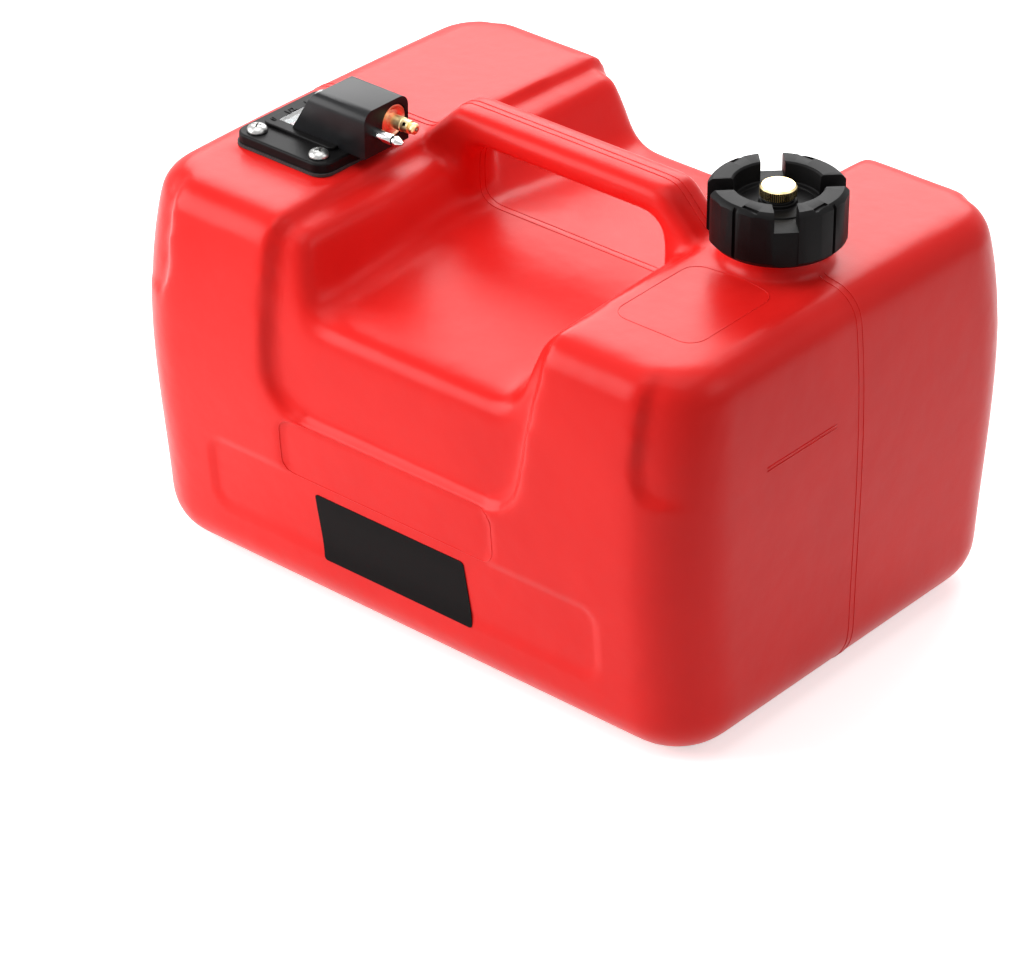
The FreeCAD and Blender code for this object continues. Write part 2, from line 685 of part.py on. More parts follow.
PIVOT = ("{meter_x}+{pivot_x}", "{meter_y}+{window_y}", "{pivot_level}")
EAR_GAP = "{drum_width}/2+{side_play}"


def gauge_bracket():
    """A disc under the plate with two ears that carry the drum's pivot."""
    body = new_body("gauge_bracket", "{meter_x}", "{meter_y}",
                    PLATE_FOOT + "-{bracket_thickness}")
    sketch = new_sketch(body, "XY_Plane")
    draw_circles(sketch, [("0", "0", "{bracket_radius}"),
                          ("{pickup_x}", "{pickup_y}", "{tube_radius}+0.2")])
    draw_circles(sketch, [(x, y, "1.6") for x, y in bracket_screw_spots()])
    pad(body, sketch, "{bracket_thickness}")
    opening = new_sketch(body, "XY_Plane", "{bracket_thickness}")
    reach = "{drum_radius}+1"
    draw_outline(opening, rectangle("-{bracket_radius}-5", "{pivot_x}+%s" % reach,
                                    "{window_y}-(%s)" % EAR_GAP, "{window_y}+%s" % EAR_GAP))
    pocket(body, opening)
    ears = new_sketch(body, "XZ_Plane", "-({window_y})")
    drop = "{pivot_level}-(%s-{bracket_thickness})" % PLATE_FOOT
    draw_outline(ears, [("{pivot_x}-7", "0.5"), ("{pivot_x}-5", drop + "-5", "4.5"),
                        ("{pivot_x}+5", drop + "-5", "4.5"), ("{pivot_x}+7", "0.5")])
    pad(body, ears, "2*(%s+{ear_thickness})" % EAR_GAP, both_ways=True)
    between = new_sketch(body, "XZ_Plane", "-({window_y})")
    draw_outline(between, [("{pivot_x}-8", "0.6+{bracket_thickness}"), ("{pivot_x}-8", drop + "-8"),
                           ("{pivot_x}+8", drop + "-8"),
                           ("{pivot_x}+8", "0.6+{bracket_thickness}")])
    pocket(body, between, "2*(%s)" % EAR_GAP, both_ways=True)
    bore = new_sketch(body, "XZ_Plane")
    draw_circles(bore, [("{pivot_x}", drop, "{pivot_radius}+{press}/2")])
    pocket(body, bore, both_ways=True)
    return body


def bracket_screws():
    pieces = []
    for index, (x, y) in enumerate(bracket_screw_spots(), start=1):
        section = [("0", "-2"), ("2", "-2"), ("2.6", "-1.4"), ("2.6", "0"),
                   ("1.4", "0"), ("1.4", "5.4"), ("0", "5.4")]
        pieces.append(turned("bracket_screw_%d" % index, section, "{meter_x}+" + x,
                             "{meter_y}+(%s)" % y, PLATE_FOOT + "-{bracket_thickness}"))
    return group("bracket_screws", pieces)


def pivot_pin():
    half = EAR_GAP + "+{ear_thickness}"
    return turned("pivot_pin", [
        ("0", "-(%s)-1" % half), ("{pivot_radius}+0.9", "-(%s)-1" % half),
        ("{pivot_radius}+0.9", "-(%s)" % half), ("{pivot_radius}", "-(%s)" % half),
        ("{pivot_radius}", half + "+0.8"), ("0", half + "+0.8"),
    ], PIVOT[0], PIVOT[1], PIVOT[2], ALONG_Y)


def gauge_drum():
    """The turning drum that carries the level scale, with a socket for the arm."""
    half = "{drum_width}/2"
    bore = "{pivot_radius}+{running}"
    body = turned("gauge_drum", [
        (bore, "-(%s)" % half), ("{drum_hub}", "-(%s)" % half),
        ("{drum_hub}", "-{drum_web}/2"), ("{drum_radius}-{drum_rim}", "-{drum_web}/2"),
        ("{drum_radius}-{drum_rim}", "-(%s)" % half), ("{drum_radius}", "-(%s)" % half),
        ("{drum_radius}", half), ("{drum_radius}-{drum_rim}", half),
        ("{drum_radius}-{drum_rim}", "{drum_web}/2"), ("{drum_hub}", "{drum_web}/2"),
        ("{drum_hub}", half), (bore, half),
    ], PIVOT[0], PIVOT[1], PIVOT[2], ALONG_Y)
    tool = round_tool("arm_socket", "{arm_radius}+{running}", PIVOT[0], PIVOT[1],
                      "{pivot_level}", "{drum_radius}+1")
    lean_down(tool)
    drill = cut("drilled_drum", body, tool)
    core = round_tool("drum_core", bore, PIVOT[0], PIVOT[1] + "-{drum_width}",
                      "{pivot_level}", "2*{drum_width}")
    core.Placement.Rotation = ALONG_Y
    return cut("gauge_drum_bored", drill, core)


def lean_down(item):
    """Turns an upright item about Y until it points down along the float arm."""
    item.Placement.Rotation = FreeCAD.Rotation(FreeCAD.Vector(0, 1, 0), 170)
    bind(item, "Placement.Rotation.Angle", "90+{arm_rest_angle}+{knee_angle}")


def float_arm():
    """A wire with a knee that passes under the saddle, and the float's cross axle."""
    body = new_body("float_arm", *PIVOT)
    lean_down(body)
    path = new_sketch(body, "XZ_Plane")
    start, knee = "{pivot_radius}+1.2", "{arm_knee}"
    end_x, end_z = "-{arm_length}*sin({knee_angle})", "{arm_length}*cos({knee_angle})"
    spots = [FreeCAD.Vector(0, number(start), 0), FreeCAD.Vector(0, number(knee), 0),
             FreeCAD.Vector(number(end_x), number(end_z), 0)]
    path.addGeometry(Part.LineSegment(spots[0], spots[1]), False)
    path.addGeometry(Part.LineSegment(spots[1], spots[2]), False)
    path.addConstraint(Sketcher.Constraint("Coincident", 0, 2, 1, 1))
    fix_point(path, 0, 1, "0", start)
    fix_point(path, 0, 2, "0", knee)
    fix_point(path, 1, 2, end_x, end_z)
    path.fillet(0, 2, number("{arm_bend}"), True, True)
    made = Sketcher.Constraint("Radius", 2, number("{arm_bend}"))
    bind(path, "Constraints[%d]" % path.addConstraint(made), "{arm_bend}")
    ring = new_sketch(body, "XY_Plane", start)
    draw_circles(ring, [("0", "0", "{arm_radius}-0.04")])
    pipe = body.newObject("PartDesign::AdditivePipe", "float_arm_wire")
    pipe.Profile = ring
    pipe.Spine = (path, ["Edge1", "Edge2", "Edge3"])
    axle = new_sketch(body, "XZ_Plane", "{arm_radius}")
    draw_circles(axle, [(end_x, end_z, "{arm_radius}")])
    run = pad(body, axle, "{float_offset}+{float_length}+4+{arm_radius}")
    run.Reversed = True
    return body


ARM_END_X = PIVOT[0] + "+{arm_length}*cos({arm_rest_angle})"
ARM_END_Z = PIVOT[2] + "-{arm_length}*sin({arm_rest_angle})"


def float_body():
    """A closed-cell float, bored for the wire."""
    return turned("float", [
        ("{arm_radius}+0.1", "0"), ("{float_radius}-2", "0"), ("{float_radius}", "2"),
        ("{float_radius}", "{float_length}-2"), ("{float_radius}-2", "{float_length}"),
        ("{arm_radius}+0.1", "{float_length}"),
    ], ARM_END_X, PIVOT[1] + "+{float_offset}", ARM_END_Z, ALONG_Y)


def float_clip():
    return turned("float_clip", [
        ("{arm_radius}", "0"), ("4", "0"), ("4", "{clip_thickness}"),
        ("{arm_radius}", "{clip_thickness}"),
    ], ARM_END_X, PIVOT[1] + "+{float_offset}+{float_length}+0.1", ARM_END_Z, ALONG_Y)


# ---------------------------------------------------------------- pickup

PICKUP = ("{meter_x}+{pickup_x}", "{meter_y}+{pickup_y}")


def pickup_tube():
    return turned("pickup_tube", [
        ("{tube_bore}", "{tube_foot}"), ("{tube_radius}", "{tube_foot}"),
        ("{tube_radius}", FLANGE_TOP), ("{tube_bore}", FLANGE_TOP),
    ], PICKUP[0], PICKUP[1])


def pickup_strainer():
    """A slotted cage with a collar that grips the foot of the tube."""
    rise = "{strainer_foot}+{strainer_height}"
    body = turned("pickup_strainer", [
        ("0", "{strainer_foot}"), ("{strainer_radius}-1.2", "{strainer_foot}"),
        ("{strainer_radius}", "{strainer_foot}+1.2"), ("{strainer_radius}", rise + "-1.5"),
        ("{strainer_radius}-1.5", rise), ("{tube_radius}", rise),
        ("{tube_radius}", rise + "-4"), ("{strainer_radius}-{strainer_wall}", rise + "-4"),
        ("{strainer_radius}-{strainer_wall}", "{strainer_foot}+1.5"),
        ("0", "{strainer_foot}+1.5"),
    ], PICKUP[0], PICKUP[1])
    sketch = new_sketch(body, "XZ_Plane")
    draw_outline(sketch, rectangle("-1.6", "1.6", "{strainer_foot}+3", rise + "-6"))
    slot = pocket(body, sketch)
    level = new_sketch(body, "XY_Plane")
    draw_circles(level, [("0", "0", "1")])
    copies_around(body, slot, level, 6)
    return body


# ---------------------------------------------------------------- connector

FACE_X = "{meter_x}+{housing_face}"
CONNECTOR = (FACE_X, "{meter_y}+{connector_y}", "{connector_level}")


def connector_housing():
    """The moulded block over the platform that holds both prongs."""
    body = new_body("connector_housing", "{meter_x}", "{meter_y}+{housing_y}", PLATFORM_TOP)
    sketch = new_sketch(body, "XZ_Plane")
    crest = "{housing_top}-(%s)" % PLATFORM_TOP
    step = "{platform_right}+{slack}"
    draw_outline(sketch, [
        ("{housing_back}", "0"), (step, "0"), (step, "-{platform_rise}"),
        ("{housing_face}", "-{platform_rise}"), ("{housing_face}", crest),
        ("{housing_brow}", crest, "3"),
    ])
    pad(body, sketch, "{housing_width}", both_ways=True)
    top, side = number(crest) - 0.01, number("{housing_width}/2") - 0.01

    def shoulder(spot, along):
        return abs(spot.y) > side and abs(along.z) < 0.9 and spot.z > top - 1

    def shoulder_or_back(spot, along):
        back = spot.x < number("{housing_brow}") and spot.z > 0.5
        return abs(spot.y) > side and (spot.z > top - 2 or back)

    round_edges(body, shoulder_or_back, "{housing_round}")
    centre = "{connector_y}-{housing_y}"
    level = "{connector_level}-(%s)" % PLATFORM_TOP
    for radius, depth in (("{cup_radius}", "{cup_depth}"),
                          ("{thread_radius}+{press}", "{cup_depth}+{thread_length}"),
                          ("{channel_radius}-0.4", "{housing_face}-{pickup_x}")):
        bore = new_sketch(body, "YZ_Plane", "{housing_face}")
        draw_circles(bore, [(centre, level, radius)])
        pocket(body, bore, depth)
    pin_bore = new_sketch(body, "YZ_Plane", "{housing_face}")
    draw_circles(pin_bore, [("{pin_y}-{housing_y}", "{pin_level}-(%s)" % PLATFORM_TOP,
                             "{pin_root_radius}+{press}/2")])
    pocket(body, pin_bore, "{pin_root}")
    riser = new_sketch(body, "XY_Plane")
    draw_circles(riser, [("{pickup_x}", centre, "{channel_radius}")])
    pocket(body, riser, level, reverse=True)
    return body


def connector_gasket():
    return turned("connector_gasket", [
        ("{thread_radius}+0.1", "-{cup_depth}"), ("{cup_radius}-0.5", "-{cup_depth}"),
        ("{cup_radius}-0.5", "-{cup_depth}+0.8"), ("{thread_radius}+0.1", "-{cup_depth}+0.8"),
    ], CONNECTOR[0], CONNECTOR[1], CONNECTOR[2], ALONG_X)


def brass_connector():
    """The fuel prong: cup flange, barrel, drilled neck and nose, with a valve bore."""
    seat = "-{cup_depth}+0.8"
    root = "-{cup_depth}+0.8-{thread_length}"
    body = turned("brass_connector", [
        ("{valve_bore}", root), ("{thread_radius}", root), ("{thread_radius}", seat),
        ("{cup_radius}-0.2", seat), ("{cup_radius}-0.2", "-0.9"), ("{cup_radius}-0.7", "-0.4"),
        ("{barrel_radius}", "-0.4"), ("{barrel_radius}", "{barrel_end}"),
        ("{barrel_radius}-0.3", "{barrel_end}+0.3"),
        ("{barrel_radius}-0.3", "{nose_end}-3.8"), ("2.2", "{nose_end}-3.8"),
        ("2.2", "{nose_end}-2.9"), ("2.9", "{nose_end}-2.9"),
        ("2.9", "{nose_end}-1.1"), ("1.8", "{nose_end}"), ("{nose_bore}", "{nose_end}"),
        ("{nose_bore}", "{valve_seat}"), ("{valve_bore}", "{valve_seat}"),
    ], CONNECTOR[0], CONNECTOR[1], CONNECTOR[2], ALONG_X)
    for role in ("XZ_Plane", "YZ_Plane"):
        cross = new_sketch(body, role)
        draw_circles(cross, [("0", "{nose_end}-6", "1")])
        pocket(body, cross, both_ways=True)
    return body


def connector_poppet():
    """The valve that a plug pushes off its seat."""
    return turned("connector_poppet", [
        ("0", "{valve_seat}-2.9"), ("{poppet_head}", "{valve_seat}-2.9"),
        ("{poppet_head}", "{valve_seat}-0.9"), ("{poppet_stem}", "{valve_seat}-0.3"),
        ("{poppet_stem}", "{nose_end}+{poppet_show}"), ("0", "{nose_end}+{poppet_show}"),
    ], CONNECTOR[0], CONNECTOR[1], CONNECTOR[2], ALONG_X)


def poppet_spring():
    """A compression spring between the retainer and the poppet."""
    body = new_body("poppet_spring", CONNECTOR[0] + "+{spring_foot}", CONNECTOR[1],
                    CONNECTOR[2], ALONG_X)
    sketch = new_sketch(body, "XZ_Plane")
    wire, rim = "2*{spring_wire}", "{valve_bore}-0.15"
    draw_outline(sketch, rectangle(rim + "-" + wire, rim, "0.05", "0.05+" + wire))
    helix = body.newObject("PartDesign::AdditiveHelix", "spring_coil")
    helix.Profile = sketch
    helix.ReferenceAxis = (sketch, ["V_Axis"])
    helix.Mode = "height-turns-angle"
    bind(helix, "Height", "{valve_seat}-2.9-{spring_foot}-%s-0.1" % wire)
    helix.Turns = 5
    return body


def spring_retainer():
    return turned("spring_retainer", [
        ("0.9", "{spring_foot}-2"), ("{valve_bore}-{running}/2", "{spring_foot}-2"),
        ("{valve_bore}-{running}/2", "{spring_foot}"), ("0.9", "{spring_foot}"),
    ], CONNECTOR[0], CONNECTOR[1], CONNECTOR[2], ALONG_X)


def guide_pin():
    return turned("guide_pin", [
        ("0", "-{pin_root}"), ("{pin_root_radius}", "-{pin_root}"),
        ("{pin_root_radius}", "0"), ("{pin_radius}", "0"),
        ("{pin_radius}", "{pin_reach}-6.7"), ("{pin_radius}-0.5", "{pin_reach}-6.4"),
        ("{pin_radius}-0.5", "{pin_reach}-6"), ("{pin_radius}", "{pin_reach}-5.7"),
        ("{pin_radius}", "{pin_reach}-3.8"), ("0.5", "{pin_reach}"), ("0", "{pin_reach}"),
    ], FACE_X, "{meter_y}+{pin_y}", "{pin_level}", ALONG_X)


# ---------------------------------------------------------------- filler cap

CAP = ("{neck_x}", "0", "{cap_foot}")
CEILING = "{neck_top}+{seal_ring}-{cap_foot}"


def filler_cap():
    """A screw cap with four lobes round a dished centre and a vent boss."""
    inner = "{neck_radius}+{cap_clearance}"
    body = turned("filler_cap", [
        ("{bushing_radius}", "{bushing_foot}"), ("{bushing_radius}+3", "{bushing_foot}"),
        ("{bushing_radius}+3", CEILING), (inner, CEILING), (inner, "0"),
        ("{cap_foot_radius}", "0"), ("{cap_radius}", "3"), ("{cap_radius}", "{cap_shoulder}"),
        ("{cap_crown_radius}+0.5", "{cap_height}-0.8"), ("{cap_crown_radius}-0.7", "{cap_height}"),
        ("{dish_radius}+1.4", "{cap_height}"), ("{dish_radius}+0.4", "{cap_height}-0.8"),
        ("{dish_radius}", "{cap_floor}"), ("{vent_boss}", "{cap_floor}"),
        ("{vent_boss}", "{boss_top}"), ("{bushing_radius}", "{boss_top}"),
    ], *CAP)
    sketch = new_sketch(body, "XY_Plane", "{cap_height}")
    near, far = "{dish_radius}-3", "{cap_radius}+5"
    slope = "sqrt(2)/2"
    corners = []
    for reach, side in ((near, "-"), (far, "-"), (far, "+"), (near, "+")):
        along, across = "(%s)*%s" % (reach, slope), "{cap_gap_width}/2*%s" % slope
        other = "+" if side == "-" else "-"
        corners.append(("%s%s%s" % (along, other, across), "%s%s%s" % (along, side, across)))
    draw_outline(sketch, corners)
    gap = pocket(body, sketch, "{cap_height}-{cap_floor}")
    copies_around(body, gap, sketch, 4)
    flat_sketch = new_sketch(body, "XY_Plane", "{cap_height}")
    corners = []
    for reach, side in (("{cap_gap_radius}", "-"), (far, "-"), (far, "+"), ("{cap_gap_radius}", "+")):
        along, across = "(%s)*%s" % (reach, slope), "{cap_gap_width}/2*%s" % slope
        other = "+" if side == "-" else "-"
        corners.append(("%s%s%s" % (along, other, across), "%s%s%s" % (along, side, across)))
    draw_outline(flat_sketch, corners)
    flat = pocket(body, flat_sketch)
    copies_around(body, flat, flat_sketch, 4)
    groove_sketch = new_sketch(body, "XY_Plane", "{cap_height}")
    draw_outline(groove_sketch, rectangle("{cap_radius}-1.6", "{cap_radius}+3",
                                          "-{cap_groove}/2", "{cap_groove}/2"))
    groove = pocket(body, groove_sketch)
    copies_around(body, groove, groove_sketch, 4)
    return body


def cap_gasket():
    """The flat ring that the cap presses on the mouth."""
    low = "{neck_top}-{cap_foot}"
    outer = "{neck_radius}+{cap_clearance}-0.3"
    return turned("cap_gasket", [
        ("{neck_bore}+0.1", low), (outer, low), (outer, CEILING), ("{neck_bore}+0.1", CEILING),
    ], *CAP)


def vent_bushing():
    return turned("vent_bushing", [
        ("{vent_radius}+{running}", "{bushing_foot}"), ("{bushing_radius}", "{bushing_foot}"),
        ("{bushing_radius}", "{boss_top}"), ("{vent_radius}+{running}", "{boss_top}"),
    ], *CAP)


def vent_seal():
    low = "{boss_top}"
    return turned("vent_seal", [
        ("{vent_radius}+0.2", low), ("{vent_seal_radius}", low),
        ("{vent_seal_radius}", low + "+{vent_seal_thickness}"),
        ("{vent_radius}+0.2", low + "+{vent_seal_thickness}"),
    ], *CAP)


def vent_knob():
    """The vent screw: knob head, stem, clip groove and a drilled air passage."""
    head = "{boss_top}+{vent_seal_thickness}"
    crown = head + "+{knob_height}"
    groove = "{clip_level}-0.05"
    body = turned("vent_knob", [
        ("{vent_bore}", "{vent_foot}"), ("{vent_radius}", "{vent_foot}"),
        ("{vent_radius}", groove), ("{vent_radius}-0.5", groove),
        ("{vent_radius}-0.5", groove + "+1.1"), ("{vent_radius}", groove + "+1.1"),
        ("{vent_radius}", head), ("{knob_radius}-0.4", head), ("{knob_radius}", head + "+0.4"),
        ("{knob_radius}", crown + "-0.9"), ("{knob_radius}-0.9", crown), ("0", crown),
        ("0", head + "-1"), ("{vent_bore}", head + "-1"),
    ], *CAP)
    air = new_sketch(body, "XZ_Plane")
    draw_circles(air, [("0", "{boss_top}-1.3", "{vent_bore}*0.8")])
    pocket(body, air, both_ways=True)
    return body


def vent_clip():
    return turned("vent_clip", [
        ("{vent_radius}-0.5", "{clip_level}"), ("5", "{clip_level}"),
        ("5", "{clip_level}+1"), ("{vent_radius}-0.5", "{clip_level}+1"),
    ], *CAP)


# ---------------------------------------------------------------- the assembly

def build():
    """Makes every piece and gives each its own label."""
    makers = [
        tank_body, threaded_inserts, meter_gasket, meter_plate, channel_o_ring,
        window_seal, gauge_window, plate_screws, gauge_bracket, bracket_screws,
        pivot_pin, gauge_drum, float_arm, float_body, float_clip, pickup_tube,
        pickup_strainer, connector_housing, connector_gasket, brass_connector,
        connector_poppet, poppet_spring, spring_retainer, guide_pin, filler_cap,
        cap_gasket, vent_bushing, vent_seal, vent_knob, vent_clip,
    ]
    labels = {"float_body": "float"}
    pieces = {}
    for maker in makers:
        piece = maker()
        pieces[labels.get(maker.__name__, maker.__name__)] = piece
    doc.recompute()
    return pieces


def check(pieces):
    """Stops if any object failed or any piece is not a sound solid."""
    for item in doc.Objects:
        if "Invalid" in item.State or "Error" in item.State:
            raise RuntimeError("failed: " + item.Name)
    for name, piece in pieces.items():
        shape = piece.Shape
        if shape.isNull() or not shape.isValid() or not shape.Solids:
            raise RuntimeError("unsound: " + name)


def export(pieces):
    os.makedirs("parts", exist_ok=True)
    for name, piece in pieces.items():
        if piece.Label != name:
            piece.Label = name
        piece.Shape.exportStep("parts/%s.step" % name)
        box = piece.Shape.BoundBox
        print("%-20s solids %d volume %10.1f  x %7.1f %7.1f  y %7.1f %7.1f  z %7.1f %7.1f"
              % (name, len(piece.Shape.Solids), piece.Shape.Volume, box.XMin, box.XMax,
                 box.YMin, box.YMax, box.ZMin, box.ZMax))


fill_sheet()
sub_parts = build()
check(sub_parts)
export(sub_parts)
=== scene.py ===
import json
import math

import bpy
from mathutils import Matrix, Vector

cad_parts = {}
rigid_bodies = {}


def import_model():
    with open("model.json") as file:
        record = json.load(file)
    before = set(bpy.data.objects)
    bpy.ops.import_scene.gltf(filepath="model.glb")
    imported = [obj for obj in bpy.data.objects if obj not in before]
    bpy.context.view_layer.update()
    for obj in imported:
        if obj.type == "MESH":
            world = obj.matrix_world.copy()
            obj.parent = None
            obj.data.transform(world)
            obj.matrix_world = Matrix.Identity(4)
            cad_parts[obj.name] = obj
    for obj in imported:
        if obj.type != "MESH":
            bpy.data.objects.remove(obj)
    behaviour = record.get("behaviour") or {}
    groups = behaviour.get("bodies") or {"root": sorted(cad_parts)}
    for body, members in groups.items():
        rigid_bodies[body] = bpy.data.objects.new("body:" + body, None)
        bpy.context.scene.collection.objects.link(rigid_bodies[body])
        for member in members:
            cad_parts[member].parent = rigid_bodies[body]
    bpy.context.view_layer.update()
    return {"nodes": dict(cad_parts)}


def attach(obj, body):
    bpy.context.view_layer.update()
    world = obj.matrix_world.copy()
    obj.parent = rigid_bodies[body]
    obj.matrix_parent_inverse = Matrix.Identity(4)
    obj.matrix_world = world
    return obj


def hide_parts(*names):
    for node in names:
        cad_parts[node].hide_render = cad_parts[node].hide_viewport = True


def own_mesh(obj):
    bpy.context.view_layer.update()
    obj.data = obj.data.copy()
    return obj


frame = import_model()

# The studio. A white floor runs under the tank and the world behind it is white too, and
# large soft lamps light it: one from the left front, one from behind, one above and a weak
# one at the right. The camera stands at the right front corner, about two metres off.
AIM = Vector((0.03235, -0.08187, 0.08658))
CAMERA_TURN = math.radians(40.86)
CAMERA_RISE = math.radians(31.22)
CAMERA_DISTANCE = 2.1459


def direction(turn, rise):
    """The unit vector from the tank towards something at that turn and rise."""
    return Vector((math.sin(turn) * math.cos(rise), -math.cos(turn) * math.cos(rise), math.sin(rise)))


def aimed(data, name, place, target):
    """A lamp or camera at a place, turned to look at the target."""
    holder = bpy.data.objects.new(name, data)
    bpy.context.scene.collection.objects.link(holder)
    holder.location = place
    holder.rotation_euler = (target - place).to_track_quat("-Z", "Y").to_euler()
    return holder


lens = bpy.data.cameras.new("camera")
lens.lens = 157.1
lens.sensor_width = 36
lens.clip_start = 0.05
bpy.context.scene.camera = aimed(
    lens, "camera", AIM + CAMERA_DISTANCE * direction(CAMERA_TURN, CAMERA_RISE), AIM
)


def softbox(name, turn, rise, distance, width, height, watts):
    """A soft rectangular lamp that looks at the middle of the tank."""
    data = bpy.data.lights.new(name, "AREA")
    data.shape = "RECTANGLE"
    data.size, data.size_y, data.energy = width, height, watts
    middle = Vector((0, 0, 0.11))
    return aimed(data, name, middle + distance * direction(math.radians(turn), math.radians(rise)), middle)


softbox("left_lamp", -48, 22, 1.6, 1.3, 1.0, 27)
softbox("back_lamp", 215, 36, 1.6, 1.6, 1.0, 25)
softbox("top_lamp", 10, 80, 1.5, 1.4, 1.4, 12)
softbox("right_lamp", 110, 35, 1.6, 0.8, 0.8, 4)


class Socket:
    """An output of a finish's node. Sums of it add Math nodes to the same finish."""

    def __init__(self, finish, socket):
        self.finish, self.socket = finish, socket

    def maths(self, operation, *values):
        return self.finish.node("ShaderNodeMath", dict(operation=operation), *values)

    def __add__(self, other):
        return self.maths("ADD", self, other)

    def __radd__(self, other):
        return self.maths("ADD", other, self)

    def __sub__(self, other):
        return self.maths("SUBTRACT", self, other)

    def __rsub__(self, other):
        return self.maths("SUBTRACT", other, self)

    def __mul__(self, other):
        return self.maths("MULTIPLY", self, other)

    def __rmul__(self, other):
        return self.maths("MULTIPLY", other, self)

    def __truediv__(self, other):
        return self.maths("DIVIDE", self, other)

    def __rtruediv__(self, other):
        return self.maths("DIVIDE", other, self)

    def __gt__(self, other):
        return self.maths("GREATER_THAN", self, other)

    def __lt__(self, other):
        return self.maths("LESS_THAN", self, other)

    def __pow__(self, other):
        return self.maths("POWER", self, other)


class Finish:
    """One material. Its node method adds any node; its coat method closes it."""

    def __init__(self, name):
        self.material = bpy.data.materials.new(name)
        self.material.use_nodes = True
        self.tree = self.material.node_tree
        self.tree.nodes.clear()
        self.end = self.tree.nodes.new("ShaderNodeOutputMaterial")

    def node(self, kind, settings=None, *values, out=0, **named):
        """A node of that kind: its settings first, then its inputs in order or by name."""
        node = self.tree.nodes.new(kind)
        for setting, value in (settings or {}).items():
            if setting == "stops":
                elements = node.color_ramp.elements
                while len(elements) < len(value):
                    elements.new(0.5)
                for stop, (place, shade) in zip(elements, value):
                    stop.position = place
                    stop.color = (*shade, 1)
            else:
                setattr(node, setting, value)
        inputs = list(enumerate(values)) + [(key.replace("_", " "), value) for key, value in named.items()]
        for key, value in inputs:
            self.feed(node.inputs[key], value)
        return Socket(self, node.outputs[out])

    def feed(self, entry, value):
        if isinstance(value, Socket):
            self.tree.links.new(value.socket, entry)
        elif value is not None:
            entry.default_value = value

    def place(self):
        """Object coordinates, which are metres in the tank's own frame."""
        return self.node("ShaderNodeTexCoord", out="Object")

    def along(self, axis):
        """How far along X, Y or Z, in metres of the tank's own frame."""
        return self.node("ShaderNodeSeparateXYZ", None, self.place(), out=axis)

    def noise(self, scale, detail=3.0):
        """A cloudy pattern, with that many spots to the metre."""
        return self.node("ShaderNodeTexNoise", None, out="Fac", Vector=self.place(), Scale=scale,
                         Detail=detail, Roughness=0.5)

    def tones(self, mask, *stops):
        """Colours along a mask from 0 to 1."""
        return self.node("ShaderNodeValToRGB", dict(stops=stops), mask)

    def blend(self, mask, low, high):
        """One colour where the mask is 0 and another where it is 1."""
        return self.node("ShaderNodeMix", dict(data_type="RGBA"), out=2, Factor=mask, A=low, B=high)

    def relief(self, height, depth, strength=1.0):
        """A fine surface, raised by the height's mask times the depth in metres."""
        return self.node("ShaderNodeBump", None, Strength=strength, Distance=depth, Height=height)

    def coat(self, **named):
        """The Principled shader with these inputs, on the material's output."""
        self.close(self.node("ShaderNodeBsdfPrincipled", None, **named))

    def close(self, shader):
        self.tree.links.new(shader.socket, self.end.inputs["Surface"])


# The floor is a plain white board that keeps the shadow at the tank's foot and turns pure
# white further out. The world is white as well. Both look white to the camera, through the
# window and in gloss, and the world gives only a weak light to the rest.
FLOOR_SIZE, FLOOR_DROP = 12, 0.0005
BOARD_GLOW = 0.6
FADE_START, FADE_LENGTH = 0.6, 0.8
WORLD_LIGHT = 0.12
bpy.ops.object.select_all(action="DESELECT")
bpy.ops.mesh.primitive_plane_add(size=FLOOR_SIZE, location=(0, 0, -FLOOR_DROP))
floor = bpy.context.object
floor.name = "floor"
bpy.ops.object.transform_apply(location=True)
floor_white = Finish("floor_white")
seen = (
    floor_white.node("ShaderNodeLightPath", out="Is Camera Ray")
    + floor_white.node("ShaderNodeLightPath", out="Is Glossy Ray")
    + floor_white.node("ShaderNodeLightPath", out="Is Transmission Ray")
)
board = floor_white.node("ShaderNodeBsdfDiffuse", None, Color=(0.9, 0.9, 0.9, 1))
glow = floor_white.node("ShaderNodeEmission", None, Color=(1, 1, 1, 1), Strength=BOARD_GLOW * seen)
lit_board = floor_white.node("ShaderNodeAddShader", None, board, glow)
far_white = floor_white.node("ShaderNodeEmission", None, Color=(1, 1, 1, 1), Strength=seen)
reach = floor_white.node("ShaderNodeVectorMath", dict(operation="LENGTH"), floor_white.place(), out="Value")
fade = (reach - FADE_START) / FADE_LENGTH
floor_white.close(floor_white.node("ShaderNodeMixShader", None, fade, lit_board, far_white))
floor.data.materials.append(floor_white.material)

world = bpy.data.worlds.new("white_studio")
bpy.context.scene.world = world
world.use_nodes = True
sky = world.node_tree.nodes["Background"]
sky.inputs["Color"].default_value = (1, 1, 1, 1)
path = world.node_tree.nodes.new("ShaderNodeLightPath")
brightest = None
for ray in ("Is Camera Ray", "Is Transmission Ray", "Is Glossy Ray"):
    step = world.node_tree.nodes.new("ShaderNodeMath")
    step.operation = "MAXIMUM"
    world.node_tree.links.new(path.outputs[ray], step.inputs[0])
    if brightest:
        world.node_tree.links.new(brightest.outputs[0], step.inputs[1])
    else:
        step.inputs[1].default_value = WORLD_LIGHT
    brightest = step
world.node_tree.links.new(brightest.outputs[0], sky.inputs["Strength"])
bpy.context.scene.view_settings.view_transform = "Standard"


